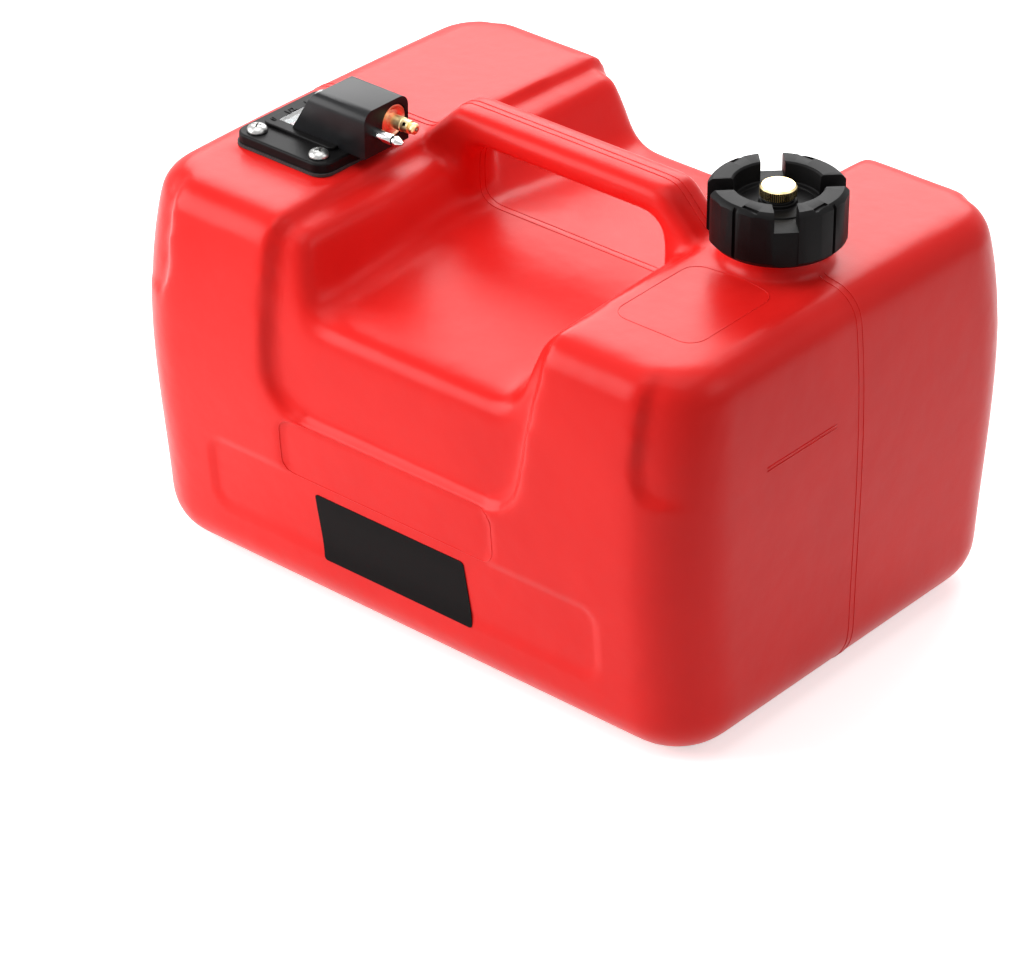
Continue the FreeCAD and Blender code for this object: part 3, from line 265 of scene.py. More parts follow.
# The tank is one blow-moulded shell of red polyethylene with walls of three millimetres.
# Its corners are soft, because the plastic is blown against the mould. Two shallow panels are
# sunk in the front and two in the back. The neck and handle are parts of the same shell.
MM = 0.001
QUARTER = math.radians(90)
MERGE = 0.001 * MM
ROOF, UNDER_ROOF = 209 * MM, 190 * MM
NECK = Vector((124.3, 0, 232)) * MM
NECK_BORE, NECK_RADIUS = 20.5 * MM, 24.5 * MM
PORT = Vector((-120.5, -47.5, 209.3)) * MM
PORT_RADIUS = 21 * MM
BORE_MARGIN = 0.3 * MM
SCREW_SPOTS = [(PORT.x + side * 20.5 * MM, PORT.y + end * 24 * MM) for side in (-1, 1) for end in (-1, 1)]
INSERT_FOOT, INSERT_RADIUS = 201.3 * MM, 3.5 * MM
SKIN_VOXEL, SKIN_ROUNDS = 2.7 * MM, 9
HOLLOW_VOXEL, HOLLOW_ROUNDS = 5.0 * MM, 3
STEP_CRISPNESS = 0.7
FRAME_X, FRAME_Z = -6.5 * MM, 91 * MM
FRAME_WIDTH, FRAME_HEIGHT, FRAME_ROUND = 136 * MM, 31 * MM, 8 * MM
PANELS = [
    (0, 56.1 * MM, 247.4 * MM, 40.3 * MM, 9 * MM),
    (FRAME_X, FRAME_Z, FRAME_WIDTH, FRAME_HEIGHT, FRAME_ROUND),
]
PANEL_DEPTH = 1.2 * MM
PANEL_EDGE = (-1.6 * MM, 1.2 * MM)


def only(piece):
    """Selects one piece alone and makes it active."""
    bpy.ops.object.select_all(action="DESELECT")
    piece.select_set(True)
    bpy.context.view_layer.objects.active = piece


def pick(piece, kind, test):
    """Opens edit mode with the faces, edges or vertices selected that pass a test of place and way."""
    only(piece)
    bpy.ops.object.mode_set(mode="EDIT")
    bpy.ops.mesh.select_mode(type=kind)
    bpy.ops.mesh.select_all(action="DESELECT")
    bpy.ops.object.mode_set(mode="OBJECT")
    mesh = piece.data
    if kind == "FACE":
        for face in mesh.polygons:
            face.select = test(face.center, face.normal)
    elif kind == "EDGE":
        for edge in mesh.edges:
            start, end = (mesh.vertices[i].co for i in edge.vertices)
            edge.select = test((start + end) / 2, (end - start).normalized())
    else:
        for corner in mesh.vertices:
            corner.select = test(corner.co, corner.normal)
    bpy.ops.object.mode_set(mode="EDIT")


def done():
    bpy.ops.object.mode_set(mode="OBJECT")


def modify(piece, kind, **settings):
    """Adds a modifier and applies it."""
    only(piece)
    modifier = piece.modifiers.new(kind.lower(), kind)
    for setting, value in settings.items():
        setattr(modifier, setting, value)
    bpy.ops.object.modifier_apply(modifier=modifier.name)


def copy_of(node, name):
    """A copy of a CAD node with its loose triangles merged."""
    piece = bpy.data.objects.new(name, frame["nodes"][node].data.copy())
    bpy.context.scene.collection.objects.link(piece)
    only(piece)
    bpy.ops.mesh.customdata_custom_splitnormals_clear()
    bpy.ops.object.mode_set(mode="EDIT")
    bpy.ops.mesh.select_all(action="SELECT")
    bpy.ops.mesh.remove_doubles(threshold=MERGE)
    done()
    return piece


def settle(name):
    """Names the new primitive and moves its place, turn and scale into its mesh."""
    piece = bpy.context.object
    piece.name = name
    bpy.ops.object.transform_apply(location=True, rotation=True, scale=True)
    return piece


def rod(name, x, y, low, high, radius, sides=64):
    """A plain upright cylinder, used as a cutter."""
    bpy.ops.object.select_all(action="DESELECT")
    bpy.ops.mesh.primitive_cylinder_add(
        vertices=sides, radius=radius, depth=high - low, location=(x, y, (low + high) / 2)
    )
    return settle(name)


def combine(piece, cutter, operation="DIFFERENCE", solver="MANIFOLD"):
    """Cuts a cutter out of a piece, or keeps what they share, and removes the cutter."""
    modify(piece, "BOOLEAN", operation=operation, solver=solver, object=cutter)
    bpy.data.objects.remove(cutter)


def joined(*pieces):
    """Makes pieces one object, without merging their shells."""
    bpy.ops.object.select_all(action="DESELECT")
    for piece in pieces:
        piece.select_set(True)
    bpy.context.view_layer.objects.active = pieces[0]
    bpy.ops.object.join()
    return pieces[0]


def smooth(piece, degrees=None):
    """Shades a piece smooth, all over or up to that angle between its faces."""
    only(piece)
    if degrees is None:
        bpy.ops.object.shade_smooth()
    else:
        bpy.ops.object.shade_smooth_by_angle(angle=math.radians(degrees))


def dress(piece, material, body=None, replaces=()):
    """Gives a piece its material, sets it on the body it rides on and hides the CAD parts it replaces."""
    piece.data.materials.clear()
    piece.data.materials.append(material)
    if body:
        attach(piece, body)
    if replaces:
        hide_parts(*replaces)


def weigh(piece, name, weight):
    """A vertex group whose weights follow each vertex's place and normal."""
    group = piece.vertex_groups.new(name=name)
    for corner in piece.data.vertices:
        value = weight(corner.co, corner.normal)
        if value > 0:
            group.add([corner.index], value, "REPLACE")


def near(point, x, y, reach):
    """Whether a point lies within reach of an upright axis."""
    return math.hypot(point.x - x, point.y - y) < reach


def ramp(value, low, high):
    """Rises smoothly from nought at low to one at high."""
    share = min(max((value - low) / (high - low), 0), 1)
    return share * share * (3 - 2 * share)


def band(value, rise, fall):
    """One between two ramps, and nought outside them."""
    return ramp(value, *rise) * (1 - ramp(value, *fall))


def in_saddle_lip(place, way):
    """The soft edges where the saddle's floor meets the front and the back."""
    upright = ramp(abs(place.y), 0.096, 0.106) * band(place.z, (0.128, 0.136), (0.178, 0.186))
    return upright * band(place.x, (-0.066, -0.056), (0.066, 0.078))


def off_corner_step(place, way):
    """Everything but the crisp step under each upper corner, which is smoothed far less."""
    x, y, z = abs(place.x), abs(place.y), place.z
    upright = band(x, (0.132, 0.138), (0.156, 0.162)) * ramp(y, 0.108, 0.114) * ramp(z, 0.134, 0.14)
    level = band(z, (0.134, 0.14), (0.158, 0.164)) * ramp(x, 0.138, 0.144) * ramp(y, 0.07, 0.08)
    return 1 - STEP_CRISPNESS * max(upright, level)


def in_panel(place, way):
    """The long panel and the small one above it, sunk in the front and in the back."""
    deepest = 0
    for x, z, width, height, corner in PANELS:
        across = abs(place.x - x) - (width / 2 - corner)
        up = abs(place.z - z) - (height / 2 - corner)
        gap = math.hypot(max(across, 0), max(up, 0)) + min(max(across, up), 0) - corner
        deepest = max(deepest, 1 - ramp(gap, *PANEL_EDGE))
    return deepest * (abs(way.y) > 0.8) * (abs(place.y) > 0.1)


tank = copy_of("tank_body", "moulded_tank")
pick(tank, "FACE", lambda c, n: c.z > UNDER_ROOF and (
    near(c, NECK.x, NECK.y, NECK_BORE + BORE_MARGIN) or near(c, PORT.x, PORT.y, PORT_RADIUS + BORE_MARGIN)
    or (INSERT_FOOT - 0.5 * MM < c.z < ROOF + 0.2 * MM
        and any(near(c, x, y, INSERT_RADIUS + 0.2 * MM) for x, y in SCREW_SPOTS))))
bpy.ops.mesh.delete(type="FACE")
done()
rightmost = max(v.co.x for v in tank.data.vertices)
pick(tank, "VERT", lambda c, n: c.x > rightmost - 0.01 * MM)
bpy.ops.mesh.select_linked()
bpy.ops.mesh.separate(type="SELECTED")
done()
hollow = tank
tank = [piece for piece in bpy.context.selected_objects if piece is not hollow][0]
hollow.name, tank.name = "hollow", "moulded_tank"
for skin, voxel, rounds in ((tank, SKIN_VOXEL, SKIN_ROUNDS), (hollow, HOLLOW_VOXEL, HOLLOW_ROUNDS)):
    pick(skin, "VERT", lambda c, n: True)
    bpy.ops.mesh.fill_holes(sides=0)
    bpy.ops.mesh.normals_make_consistent(inside=False)
    done()
    modify(skin, "REMESH", mode="VOXEL", voxel_size=voxel, adaptivity=0)
    weigh(skin, "off_corner_step", off_corner_step)
    weigh(skin, "saddle_lip", in_saddle_lip)
    modify(skin, "SMOOTH", factor=0.5, iterations=rounds, vertex_group="off_corner_step")
    modify(skin, "SMOOTH", factor=0.5, iterations=rounds * 3, vertex_group="saddle_lip")
for side in (1, -1):
    weigh(tank, "side", lambda c, n, side=side: in_panel(c, n) * (c.y * side < 0))
    modify(tank, "DISPLACE", direction="Y", mid_level=0, strength=side * PANEL_DEPTH, vertex_group="side")
    tank.vertex_groups.clear()
outer_skin = tank.copy()
outer_skin.data = tank.data.copy()
bpy.context.scene.collection.objects.link(outer_skin)
combine(tank, hollow)
combine(tank, rod("bore_cutter", NECK.x, NECK.y, UNDER_ROOF, 240 * MM, NECK_BORE))
combine(tank, rod("port_cutter", PORT.x, PORT.y, UNDER_ROOF, 220 * MM, PORT_RADIUS))
for x, y in SCREW_SPOTS:
    combine(tank, rod("insert_cutter", x, y, INSERT_FOOT, 220 * MM, INSERT_RADIUS, 24))
smooth(tank, 60)

red_polyethylene = Finish("red_polyethylene")
cloud = red_polyethylene.noise(14.0)
grain = red_polyethylene.noise(1500.0, 2.0)
ripple = red_polyethylene.noise(55.0, 2.0)
tone = red_polyethylene.tones(cloud, (0.3, (0.75, 0.013, 0.011)), (0.7, (0.81, 0.018, 0.015)))
skin_relief = red_polyethylene.relief(grain + 8.0 * ripple, 0.00012, 0.4)
red_polyethylene.coat(
    Base_Color=tone, Roughness=0.27 + 0.08 * cloud, Specular_IOR_Level=0.15, Normal=skin_relief
)
dress(tank, red_polyethylene.material, "tank", ["tank_body"])


# The mould's two halves leave a parting line, two thin ridges that run right round the tank
# and over its handle. The same fine ridges frame a small panel on the front and on the back
# and one on the right shoulder, and two of them mark the fill level on the right end.
SEAM_HALF = 1.9 * MM
RIDGE_RADIUS, SHOULDER_RIDGE_RADIUS, FILL_RIDGE_RADIUS = 0.3 * MM, 0.2 * MM, 0.36 * MM
SHOULDER_X, SHOULDER_Y = 121.5 * MM, -57.5 * MM
SHOULDER_WIDTH, SHOULDER_HEIGHT, SHOULDER_ROUND = 49 * MM, 61 * MM, 9 * MM
FILL_LEVELS, FILL_Y, FILL_LENGTH = (146.7 * MM, 148.5 * MM), -45 * MM, 52 * MM
CLEAR_X, CLEAR_Y, CLEAR_Z = 190 * MM, 140 * MM, 250 * MM


def ridge(line, radius):
    """Turns a line of edges into a half-sunk round ridge."""
    only(line)
    bpy.ops.object.convert(target="CURVE")
    line.data.bevel_depth = radius
    line.data.bevel_resolution = 1
    bpy.ops.object.convert(target="MESH")
    pick(line, "VERT", lambda c, n: True)
    bpy.ops.mesh.fill_holes(sides=8)
    bpy.ops.mesh.normals_make_consistent(inside=False)
    done()
    return line


def parting_ridge(level):
    """The ridge where an upright plane meets the tank's skin, but not at the neck."""
    line = outer_skin.copy()
    line.data = outer_skin.data.copy()
    bpy.context.scene.collection.objects.link(line)
    pick(line, "FACE", lambda c, n: True)
    bpy.ops.mesh.bisect(plane_co=(0, level, 0), plane_no=(0, 1, 0), clear_inner=True, clear_outer=True)
    done()
    pick(line, "VERT", lambda c, n: c.z < 1 * MM or (
        c.z > ROOF - 0.5 * MM and near(c, NECK.x, NECK.y, NECK_RADIUS + 1.7 * MM)))
    bpy.ops.mesh.delete(type="VERT")
    done()
    return ridge(line, RIDGE_RADIUS)


def laid_outline(name, middle, width, height, corner, turn, radius):
    """A rounded outline laid on the tank's skin along the way that it faces."""
    bpy.ops.object.select_all(action="DESELECT")
    bpy.ops.mesh.primitive_plane_add(size=1, location=middle, rotation=turn)
    bpy.context.object.scale = (width, height, 1)
    line = settle(name)
    pick(line, "VERT", lambda c, n: True)
    bpy.ops.mesh.bevel(offset=corner, segments=6, affect="VERTICES")
    bpy.ops.mesh.select_all(action="SELECT")
    bpy.ops.mesh.delete(type="ONLY_FACE")
    bpy.ops.mesh.select_all(action="SELECT")
    bpy.ops.mesh.subdivide(number_cuts=5)
    done()
    upright = abs(turn[0]) > 1
    modify(line, "SHRINKWRAP", target=outer_skin, wrap_method="PROJECT", use_project_x=False,
           use_project_y=upright, use_project_z=not upright, use_negative_direction=True,
           use_positive_direction=True)
    return ridge(line, radius)


ridges = [parting_ridge(SEAM_HALF), parting_ridge(-SEAM_HALF)]
for name, side in (("front_frame", -1), ("back_frame", 1)):
    ridges.append(laid_outline(name, (FRAME_X, side * CLEAR_Y, FRAME_Z), FRAME_WIDTH, FRAME_HEIGHT,
                               FRAME_ROUND, (QUARTER, 0, 0), RIDGE_RADIUS))
ridges.append(laid_outline("shoulder_frame", (SHOULDER_X, SHOULDER_Y, CLEAR_Z), SHOULDER_WIDTH,
                           SHOULDER_HEIGHT, SHOULDER_ROUND, (0, 0, 0), SHOULDER_RIDGE_RADIUS))
for level in FILL_LEVELS:
    bpy.ops.object.select_all(action="DESELECT")
    bpy.ops.mesh.primitive_plane_add(
        size=FILL_LENGTH, location=(CLEAR_X, FILL_Y, level), rotation=(0, QUARTER, 0))
    mark = settle("fill_mark")
    pick(mark, "VERT", lambda c, n: c.z < level)
    bpy.ops.mesh.delete(type="VERT")
    done()
    pick(mark, "VERT", lambda c, n: True)
    bpy.ops.transform.translate(value=(0, 0, level - mark.data.vertices[0].co.z))
    bpy.ops.mesh.subdivide(number_cuts=11)
    done()
    modify(mark, "SHRINKWRAP", target=outer_skin, wrap_method="PROJECT", use_project_x=True,
           use_negative_direction=True, use_positive_direction=True)
    ridges.append(ridge(mark, FILL_RIDGE_RADIUS))
moulded_ridges = joined(*ridges)
moulded_ridges.name = "moulded_ridges"
smooth(moulded_ridges)
dress(moulded_ridges, red_polyethylene.material, "tank")


# The neck's thread is a coarse rounded ridge, moulded in the same shell. The cap hides it
# until it is unscrewed.
THREAD_START = Vector((24.7, 0, 222.6)) * MM
THREAD_WIDTH, THREAD_RISE, THREAD_TURNS = 2.6 * MM, 7.5 * MM, 1.25
bpy.ops.object.select_all(action="DESELECT")
bpy.ops.mesh.primitive_plane_add(size=THREAD_WIDTH, location=THREAD_START, rotation=(QUARTER, 0, 0))
thread = settle("neck_thread")
pick(thread, "VERT", lambda c, n: c.x > THREAD_START.x)
bpy.ops.transform.resize(value=(1, 1, 0.3), center_override=THREAD_START)
bpy.ops.transform.translate(value=(-0.5 * MM, 0, 0))
done()
modify(thread, "SCREW", axis="Z", angle=math.radians(360 * THREAD_TURNS), screw_offset=THREAD_RISE, steps=60,
       render_steps=60, use_normal_calculate=True)
pick(thread, "VERT", lambda c, n: True)
bpy.ops.mesh.remove_doubles(threshold=MERGE)
bpy.ops.mesh.fill_holes(sides=4)
bpy.ops.mesh.normals_make_consistent(inside=False)
bpy.ops.transform.translate(value=(NECK.x, 0, 0))
done()
smooth(thread, 50)
dress(thread, red_polyethylene.material, "tank")


# The label is a bare film of black plastic, stuck on the front a little above the foot. It
# follows the wall's curve, has small rounded corners and leans a little to the left.
FILM = Vector((-4.5, 0, 50.5)) * MM
FILM_WIDTH, FILM_HEIGHT, FILM_ROUND, FILM_LEAN = 96 * MM, 37 * MM, 2 * MM, 1.8 * MM
FILM_COLUMN, FILM_ROW = 8 * MM, 4 * MM
FILM_THICKNESS = 0.3 * MM
bpy.ops.object.select_all(action="DESELECT")
bpy.ops.mesh.primitive_plane_add(size=1, location=(FILM.x, -CLEAR_Y, FILM.z), rotation=(QUARTER, 0, 0))
bpy.context.object.scale = (FILM_WIDTH, FILM_HEIGHT, 1)
film = settle("label_film")
for side in (1, -1):
    pick(film, "VERT", lambda c, n: (c.z - FILM.z) * side > 0)
    bpy.ops.transform.translate(value=(-FILM_LEAN * side, 0, 0))
    done()
pick(film, "VERT", lambda c, n: True)
bpy.ops.mesh.bevel(offset=FILM_ROUND, segments=4, affect="VERTICES")
for column in range(1, 12):
    bpy.ops.mesh.select_all(action="SELECT")
    bpy.ops.mesh.bisect(
        plane_co=(FILM.x - FILM_WIDTH / 2 + column * FILM_COLUMN, 0, 0), plane_no=(1, 0, 0))
for row in range(1, 9):
    bpy.ops.mesh.select_all(action="SELECT")
    bpy.ops.mesh.bisect(plane_co=(0, 0, FILM.z - FILM_HEIGHT / 2 + row * FILM_ROW), plane_no=(0, 0, 1))
done()
modify(film, "SHRINKWRAP", target=outer_skin, wrap_method="PROJECT", use_project_y=True,
       use_negative_direction=True, use_positive_direction=True)
modify(film, "SMOOTH", factor=0.5, iterations=9, use_x=False, use_z=False)
pick(film, "FACE", lambda c, n: True)
bpy.ops.mesh.normals_make_consistent(inside=False)
bpy.ops.transform.translate(value=(0, -FILM_THICKNESS, 0))
done()
modify(film, "SOLIDIFY", thickness=FILM_THICKNESS, offset=0)
smooth(film, 40)
black_film = Finish("black_film")
scuff = black_film.noise(260.0, 4.0)
black_film.coat(
    Base_Color=black_film.tones(scuff, (0.3, (0.0010, 0.0008, 0.0008)), (0.8, (0.0030, 0.0024, 0.0024))),
    Roughness=0.42 + 0.12 * scuff, Specular_IOR_Level=0.06,
    Normal=black_film.relief(black_film.noise(900.0), 0.00004, 0.3),
)
dress(film, black_film.material, "tank")
bpy.data.objects.remove(outer_skin)


# The filler cap is moulded in black nylon. Four lobes for the hand stand round a dish, each
# with a groove in its middle and a shallow slot on top, and the flats of its outer wall meet
# in faint upright edges. Its inside is plain.
CAP_FOOT = 221 * MM
CAP_FLAT, CAP_EDGE = 33.12 * MM, 0.35 * MM
LOBES = 4
LOBE_GAP_HALF, LOBE_GROOVE_HALF = 5.8, 1.0
CAP_OUT, CAP_UP, CAP_DOWN = 38, 40, -5
CAP_HALF_SECTION = [
    (7.5, 8), (7.5, 13.2), (25.7, 13.2), (25.7, 0), (30.5, 0), (33.2, 3), (33.2, 25.6), (32.5, 26.7),
    (31.5, 27.8), (30.6, 28.4), (22.3, 28.4), (21.5, 27.6), (21.0, 19.0), (20.5, 18.5), (18.4, 18.5),
    (18.1, 17.8), (17.1, 17.8), (16.8, 18.5), (9.3, 18.5), (9, 18.8), (9, 20.2), (8.7, 20.5),
    (4.5, 20.5), (4.5, 8),
]


def drawn(name, outline):
    """A closed line of edges in the upright plane, from points in millimetres, left in edit mode."""
    bpy.ops.object.select_all(action="DESELECT")
    bpy.ops.mesh.primitive_plane_add(size=1)
    piece = settle(name)
    last = Vector((outline[0][0], 0, outline[0][1])) * MM
    bpy.ops.object.mode_set(mode="EDIT")
    bpy.ops.mesh.select_mode(type="VERT")
    bpy.ops.mesh.select_all(action="SELECT")
    bpy.ops.mesh.merge(type="CENTER")
    bpy.ops.transform.translate(value=last)
    for x, z in outline[1:] + outline[:1]:
        spot = Vector((x, 0, z)) * MM
        bpy.ops.mesh.extrude_region_move(TRANSFORM_OT_translate=dict(value=spot - last))
        last = spot
    bpy.ops.mesh.select_all(action="SELECT")
    bpy.ops.mesh.remove_doubles(threshold=2 * MERGE)
    return piece


def turned(name, half_section, steps=96):
    """A closed half section in millimetres, spun about the upright axis at the origin."""
    piece = drawn(name, half_section)
    bpy.ops.mesh.select_all(action="SELECT")
    bpy.ops.mesh.spin(steps=steps, angle=math.radians(360), center=(0, 0, 0), axis=(0, 0, 1))
    bpy.ops.mesh.select_all(action="SELECT")
    bpy.ops.mesh.remove_doubles(threshold=2 * MERGE)
    bpy.ops.mesh.normals_make_consistent(inside=False)
    done()
    return piece


def block(name, low, high, turn=0.0):
    """A box between two corners in millimetres, turned about the upright axis at the origin."""
    low, high = Vector(low) * MM, Vector(high) * MM
    bpy.ops.object.select_all(action="DESELECT")
    bpy.ops.mesh.primitive_cube_add(size=1, location=(low + high) / 2)
    bpy.context.object.scale = high - low
    piece = settle(name)
    piece.rotation_euler = (0, 0, turn)
    bpy.ops.object.transform_apply(rotation=True)
    return piece


def crisp(piece, width, segments=2, limit=35):
    """Breaks the sharp edges of a moulded or turned piece."""
    modify(piece, "BEVEL", width=width, segments=segments, limit_method="ANGLE",
           angle_limit=math.radians(limit), use_clamp_overlap=True)
    smooth(piece, 32)


def put(piece, place, turn=(0, 0, 0)):
    """Turns a piece that was made at the origin, and moves it to its place."""
    only(piece)
    piece.rotation_euler = turn
    piece.location = place
    bpy.ops.object.transform_apply(location=True, rotation=True)
    return piece


cap = turned("filler_cap_detail", CAP_HALF_SECTION)
combine(cap, rod("cap_facets", 0, 0, -1 * MM, 30 * MM, CAP_FLAT, 24), "INTERSECT")
for lobe in range(LOBES):
    middle = QUARTER * lobe
    between = middle + QUARTER / 2
    for name, inner, low in (("gap_cutter", 18.8, 18.5), ("gap_flat_cutter", 31.3, CAP_DOWN)):
        combine(cap, block(name, (inner, -LOBE_GAP_HALF, low), (CAP_OUT, LOBE_GAP_HALF, CAP_UP), between))
    combine(cap, block("groove_cutter", (31.5, -LOBE_GROOVE_HALF, CAP_DOWN),
                       (CAP_OUT, LOBE_GROOVE_HALF, CAP_UP), middle))
for lobe in range(LOBES):
    start, end = (2.2, 10.8) if lobe % 2 else (-10.8, -2.2)
    combine(cap, block("slot_cutter", (28.3, start, 27.3), (30.5, end, CAP_UP), QUARTER * lobe))
crisp(cap, CAP_EDGE)
put(cap, (NECK.x, 0, CAP_FOOT))
black_nylon = Finish("black_nylon")
pitting = black_nylon.noise(2300.0, 2.0)
bloom = black_nylon.noise(90.0, 3.0)
black_nylon.coat(
    Base_Color=black_nylon.tones(bloom, (0.3, (0.0035, 0.0032, 0.0034)), (0.7, (0.0065, 0.0060, 0.0062))),
    Roughness=0.40 + 0.10 * bloom, Specular_IOR_Level=0.09,
    Normal=black_nylon.relief(pitting, 0.00006, 0.5),
)
dress(cap, black_nylon.material, "cap", ["filler_cap"])


# The cap's seal ring, the vent's seal ring and the other soft seals are black rubber, matt
# and slightly dusty. The vent's bushing is a plain brass tube, moulded into the cap.
black_rubber = Finish("black_rubber")
dust = black_rubber.noise(420.0, 4.0)
black_rubber.coat(
    Base_Color=black_rubber.tones(dust, (0.35, (0.012, 0.012, 0.012)), (0.8, (0.032, 0.031, 0.030))),
    Roughness=0.66 + 0.18 * dust, Normal=black_rubber.relief(dust, 0.00008, 0.4),
)
for name in ("cap_gasket", "vent_seal", "window_seal", "channel_o_ring", "connector_gasket",
             "meter_gasket"):
    dress(frame["nodes"][name], black_rubber.material)

brass = Finish("brass")
tarnish = brass.noise(120.0, 4.0)
turning = brass.noise(2600.0, 1.0)
brass.coat(
    Base_Color=brass.tones(tarnish, (0.3, (0.83, 0.62, 0.28)), (0.75, (0.92, 0.74, 0.42))),
    Metallic=1.0, Roughness=0.16 + 0.16 * tarnish, Normal=brass.relief(turning, 0.00003, 0.3),
)
dress(frame["nodes"]["vent_bushing"], brass.material)


# The vent screw is turned from brass, with a drilled stem and a head whose rim is knurled
# so that it grips when wet. A steel clip under the cap stops it from coming out.
KNOB_RADIUS, KNOB_FOOT = 8.75 * MM, 243.0 * MM
KNURL_COUNT, KNURL_RADIUS, KNURL_LENGTH, KNURL_MIDDLE = 56, 0.47 * MM, 4.5 * MM, 2.4 * MM
VALLEY_DEPTH, VALLEY_TOP = 0.22 * MM, 4.66 * MM
knob = copy_of("vent_knob", "vent_knob_detail")
bpy.ops.object.select_all(action="DESELECT")
bpy.ops.mesh.primitive_cylinder_add(
    vertices=4, radius=KNURL_RADIUS, depth=KNURL_LENGTH,
    location=(KNOB_RADIUS + 0.02 * MM, 0, KNOB_FOOT + KNURL_MIDDLE),
)
teeth = settle("knurl_cutter")
pick(teeth, "FACE", lambda c, n: True)
bpy.ops.mesh.spin(steps=KNURL_COUNT - 1, dupli=True, angle=math.radians(360 * (1 - 1 / KNURL_COUNT)),
                  center=(0, 0, 0), axis=(0, 0, 1))
done()
pick(teeth, "VERT", lambda c, n: True)
bpy.ops.mesh.remove_doubles(threshold=2 * MERGE)
done()
put(teeth, (NECK.x, 0, 0))
combine(knob, teeth, solver="EXACT")
smooth(knob, 32)
knurled_brass = Finish("knurled_brass")
from_axis = knurled_brass.along("X") - NECK.x
sideways = knurled_brass.along("Y")
rim = (from_axis * from_axis + sideways * sideways) ** 0.5
# The knurl's valleys below the head's top are painted dark brown: painted shade between the teeth.
painted_valley_shade = (rim < KNOB_RADIUS - VALLEY_DEPTH) * (knurled_brass.along("Z") < KNOB_FOOT + VALLEY_TOP)
stain = knurled_brass.noise(160.0, 4.0)
knurled_brass.coat(
    Base_Color=knurled_brass.blend(
        painted_valley_shade,
        knurled_brass.tones(stain, (0.3, (0.80, 0.60, 0.27)), (0.75, (0.90, 0.73, 0.41))),
        knurled_brass.tones(stain, (0.3, (0.10, 0.06, 0.02)), (0.75, (0.18, 0.12, 0.05))),
    ),
    Metallic=1.0, Roughness=0.2 + 0.14 * stain,
)
dress(knob, knurled_brass.material, "vent_screw", ["vent_knob"])

stainless_steel = Finish("stainless_steel")
brushing = stainless_steel.noise(700.0, 3.0)
stainless_steel.coat(
    Base_Color=stainless_steel.tones(brushing, (0.3, (0.38, 0.38, 0.37)), (0.8, (0.52, 0.52, 0.51))),
    Metallic=1.0, Roughness=0.24 + 0.14 * brushing,
    Normal=stainless_steel.relief(brushing, 0.00002, 0.25),
)
dress(frame["nodes"]["vent_clip"], stainless_steel.material)


# The fuel meter's plate is a moulded black flange on a rubber gasket, with a low platform.
# Three raised marks beside the window are the gauge's scale: 0, 1/2 and 1.
PLATFORM_TOP = 217.8 * MM
MARK_X, MARK_SIZE, MARK_HEIGHT, MARK_SUNK = -141.2 * MM, 5.2 * MM, 0.45 * MM, 0.05 * MM
dress(frame["nodes"]["meter_plate"], black_nylon.material)
marks = []
for words, level in (("0", -59.6), ("1/2", -47.8), ("1", -36.0)):
    bpy.ops.object.select_all(action="DESELECT")
    bpy.ops.object.text_add(location=(MARK_X, level * MM, PLATFORM_TOP - MARK_SUNK), rotation=(0, 0, QUARTER))
    mark = bpy.context.object
    mark.data.body = words
    mark.data.size = MARK_SIZE
    mark.data.align_x, mark.data.align_y = "CENTER", "CENTER"
    mark.data.extrude = MARK_HEIGHT
    mark.data.resolution_u = 3
    bpy.ops.object.convert(target="MESH")
    marks.append(settle("gauge_mark"))
gauge_marks = joined(*marks)
gauge_marks.name = "gauge_marks"
smooth(gauge_marks, 30)
dress(gauge_marks, black_nylon.material, "tank")


# Four pan-head screws with cross recesses hold the plate and gasket down. They are steel,
# and they turn in threaded brass inserts moulded into the tank's bosses.
HEAD_FOOT = 216.0 * MM
RECESS_LENGTH_HALF, RECESS_WIDTH_HALF, RECESS_FLOOR, RECESS_TOP = 3.1, 0.62, 1.4, 4.5
FIRST_TURN, NEXT_TURN = 0.5, 1.9
SCREW_HALF_SECTION = [
    (0, -13), (1.85, -13), (2.45, -12.4), (2.45, 0), (4.7, 0), (5.2, 0.35), (5.2, 0.8), (5.0, 1.55),
    (4.5, 2.3), (3.7, 2.95), (2.6, 3.4), (1.3, 3.58), (0, 3.6),
]
screws = []
for index, (x, y) in enumerate(SCREW_SPOTS):
    screw = turned("screw", SCREW_HALF_SECTION, 40)
    for half in range(2):
        recess = block("recess_cutter", (-RECESS_LENGTH_HALF, -RECESS_WIDTH_HALF, RECESS_FLOOR),
                       (RECESS_LENGTH_HALF, RECESS_WIDTH_HALF, RECESS_TOP), QUARTER * half)
        pick(recess, "VERT", lambda c, n: c.z < 2 * MM)
        bpy.ops.transform.resize(value=(0.5, 0.5, 1), center_override=(0, 0, RECESS_FLOOR * MM))
        done()
        combine(screw, recess, solver="EXACT")
    put(screw, (x, y, HEAD_FOOT), (0, 0, FIRST_TURN + NEXT_TURN * index))
    screws.append(screw)
plate_screws = joined(*screws)
plate_screws.name = "plate_screws_detail"
smooth(plate_screws, 34)
dress(plate_screws, stainless_steel.material, "tank", ["plate_screws"])
dress(frame["nodes"]["threaded_inserts"], brass.material)


# The gauge window is a clear moulded lens over a drum. The drum is white plastic with a
# red band that winds round it, so the band reaches further along the window as it turns.
DRUM_AXIS = Vector((-128.5, -48.5, 200.0)) * MM
BAND_START, BAND_PER_RADIAN = -56.5 * MM, 18.1 * MM
clear_window = Finish("clear_window")
haze = clear_window.noise(500.0, 3.0)
clear_window.coat(
    Base_Color=clear_window.tones(haze, (0.3, (0.80, 0.85, 0.87)), (0.8, (0.88, 0.92, 0.93))),
    Roughness=0.05 + 0.08 * haze, IOR=1.36, Transmission_Weight=1.0,
)
dress(frame["nodes"]["gauge_window"], clear_window.material)

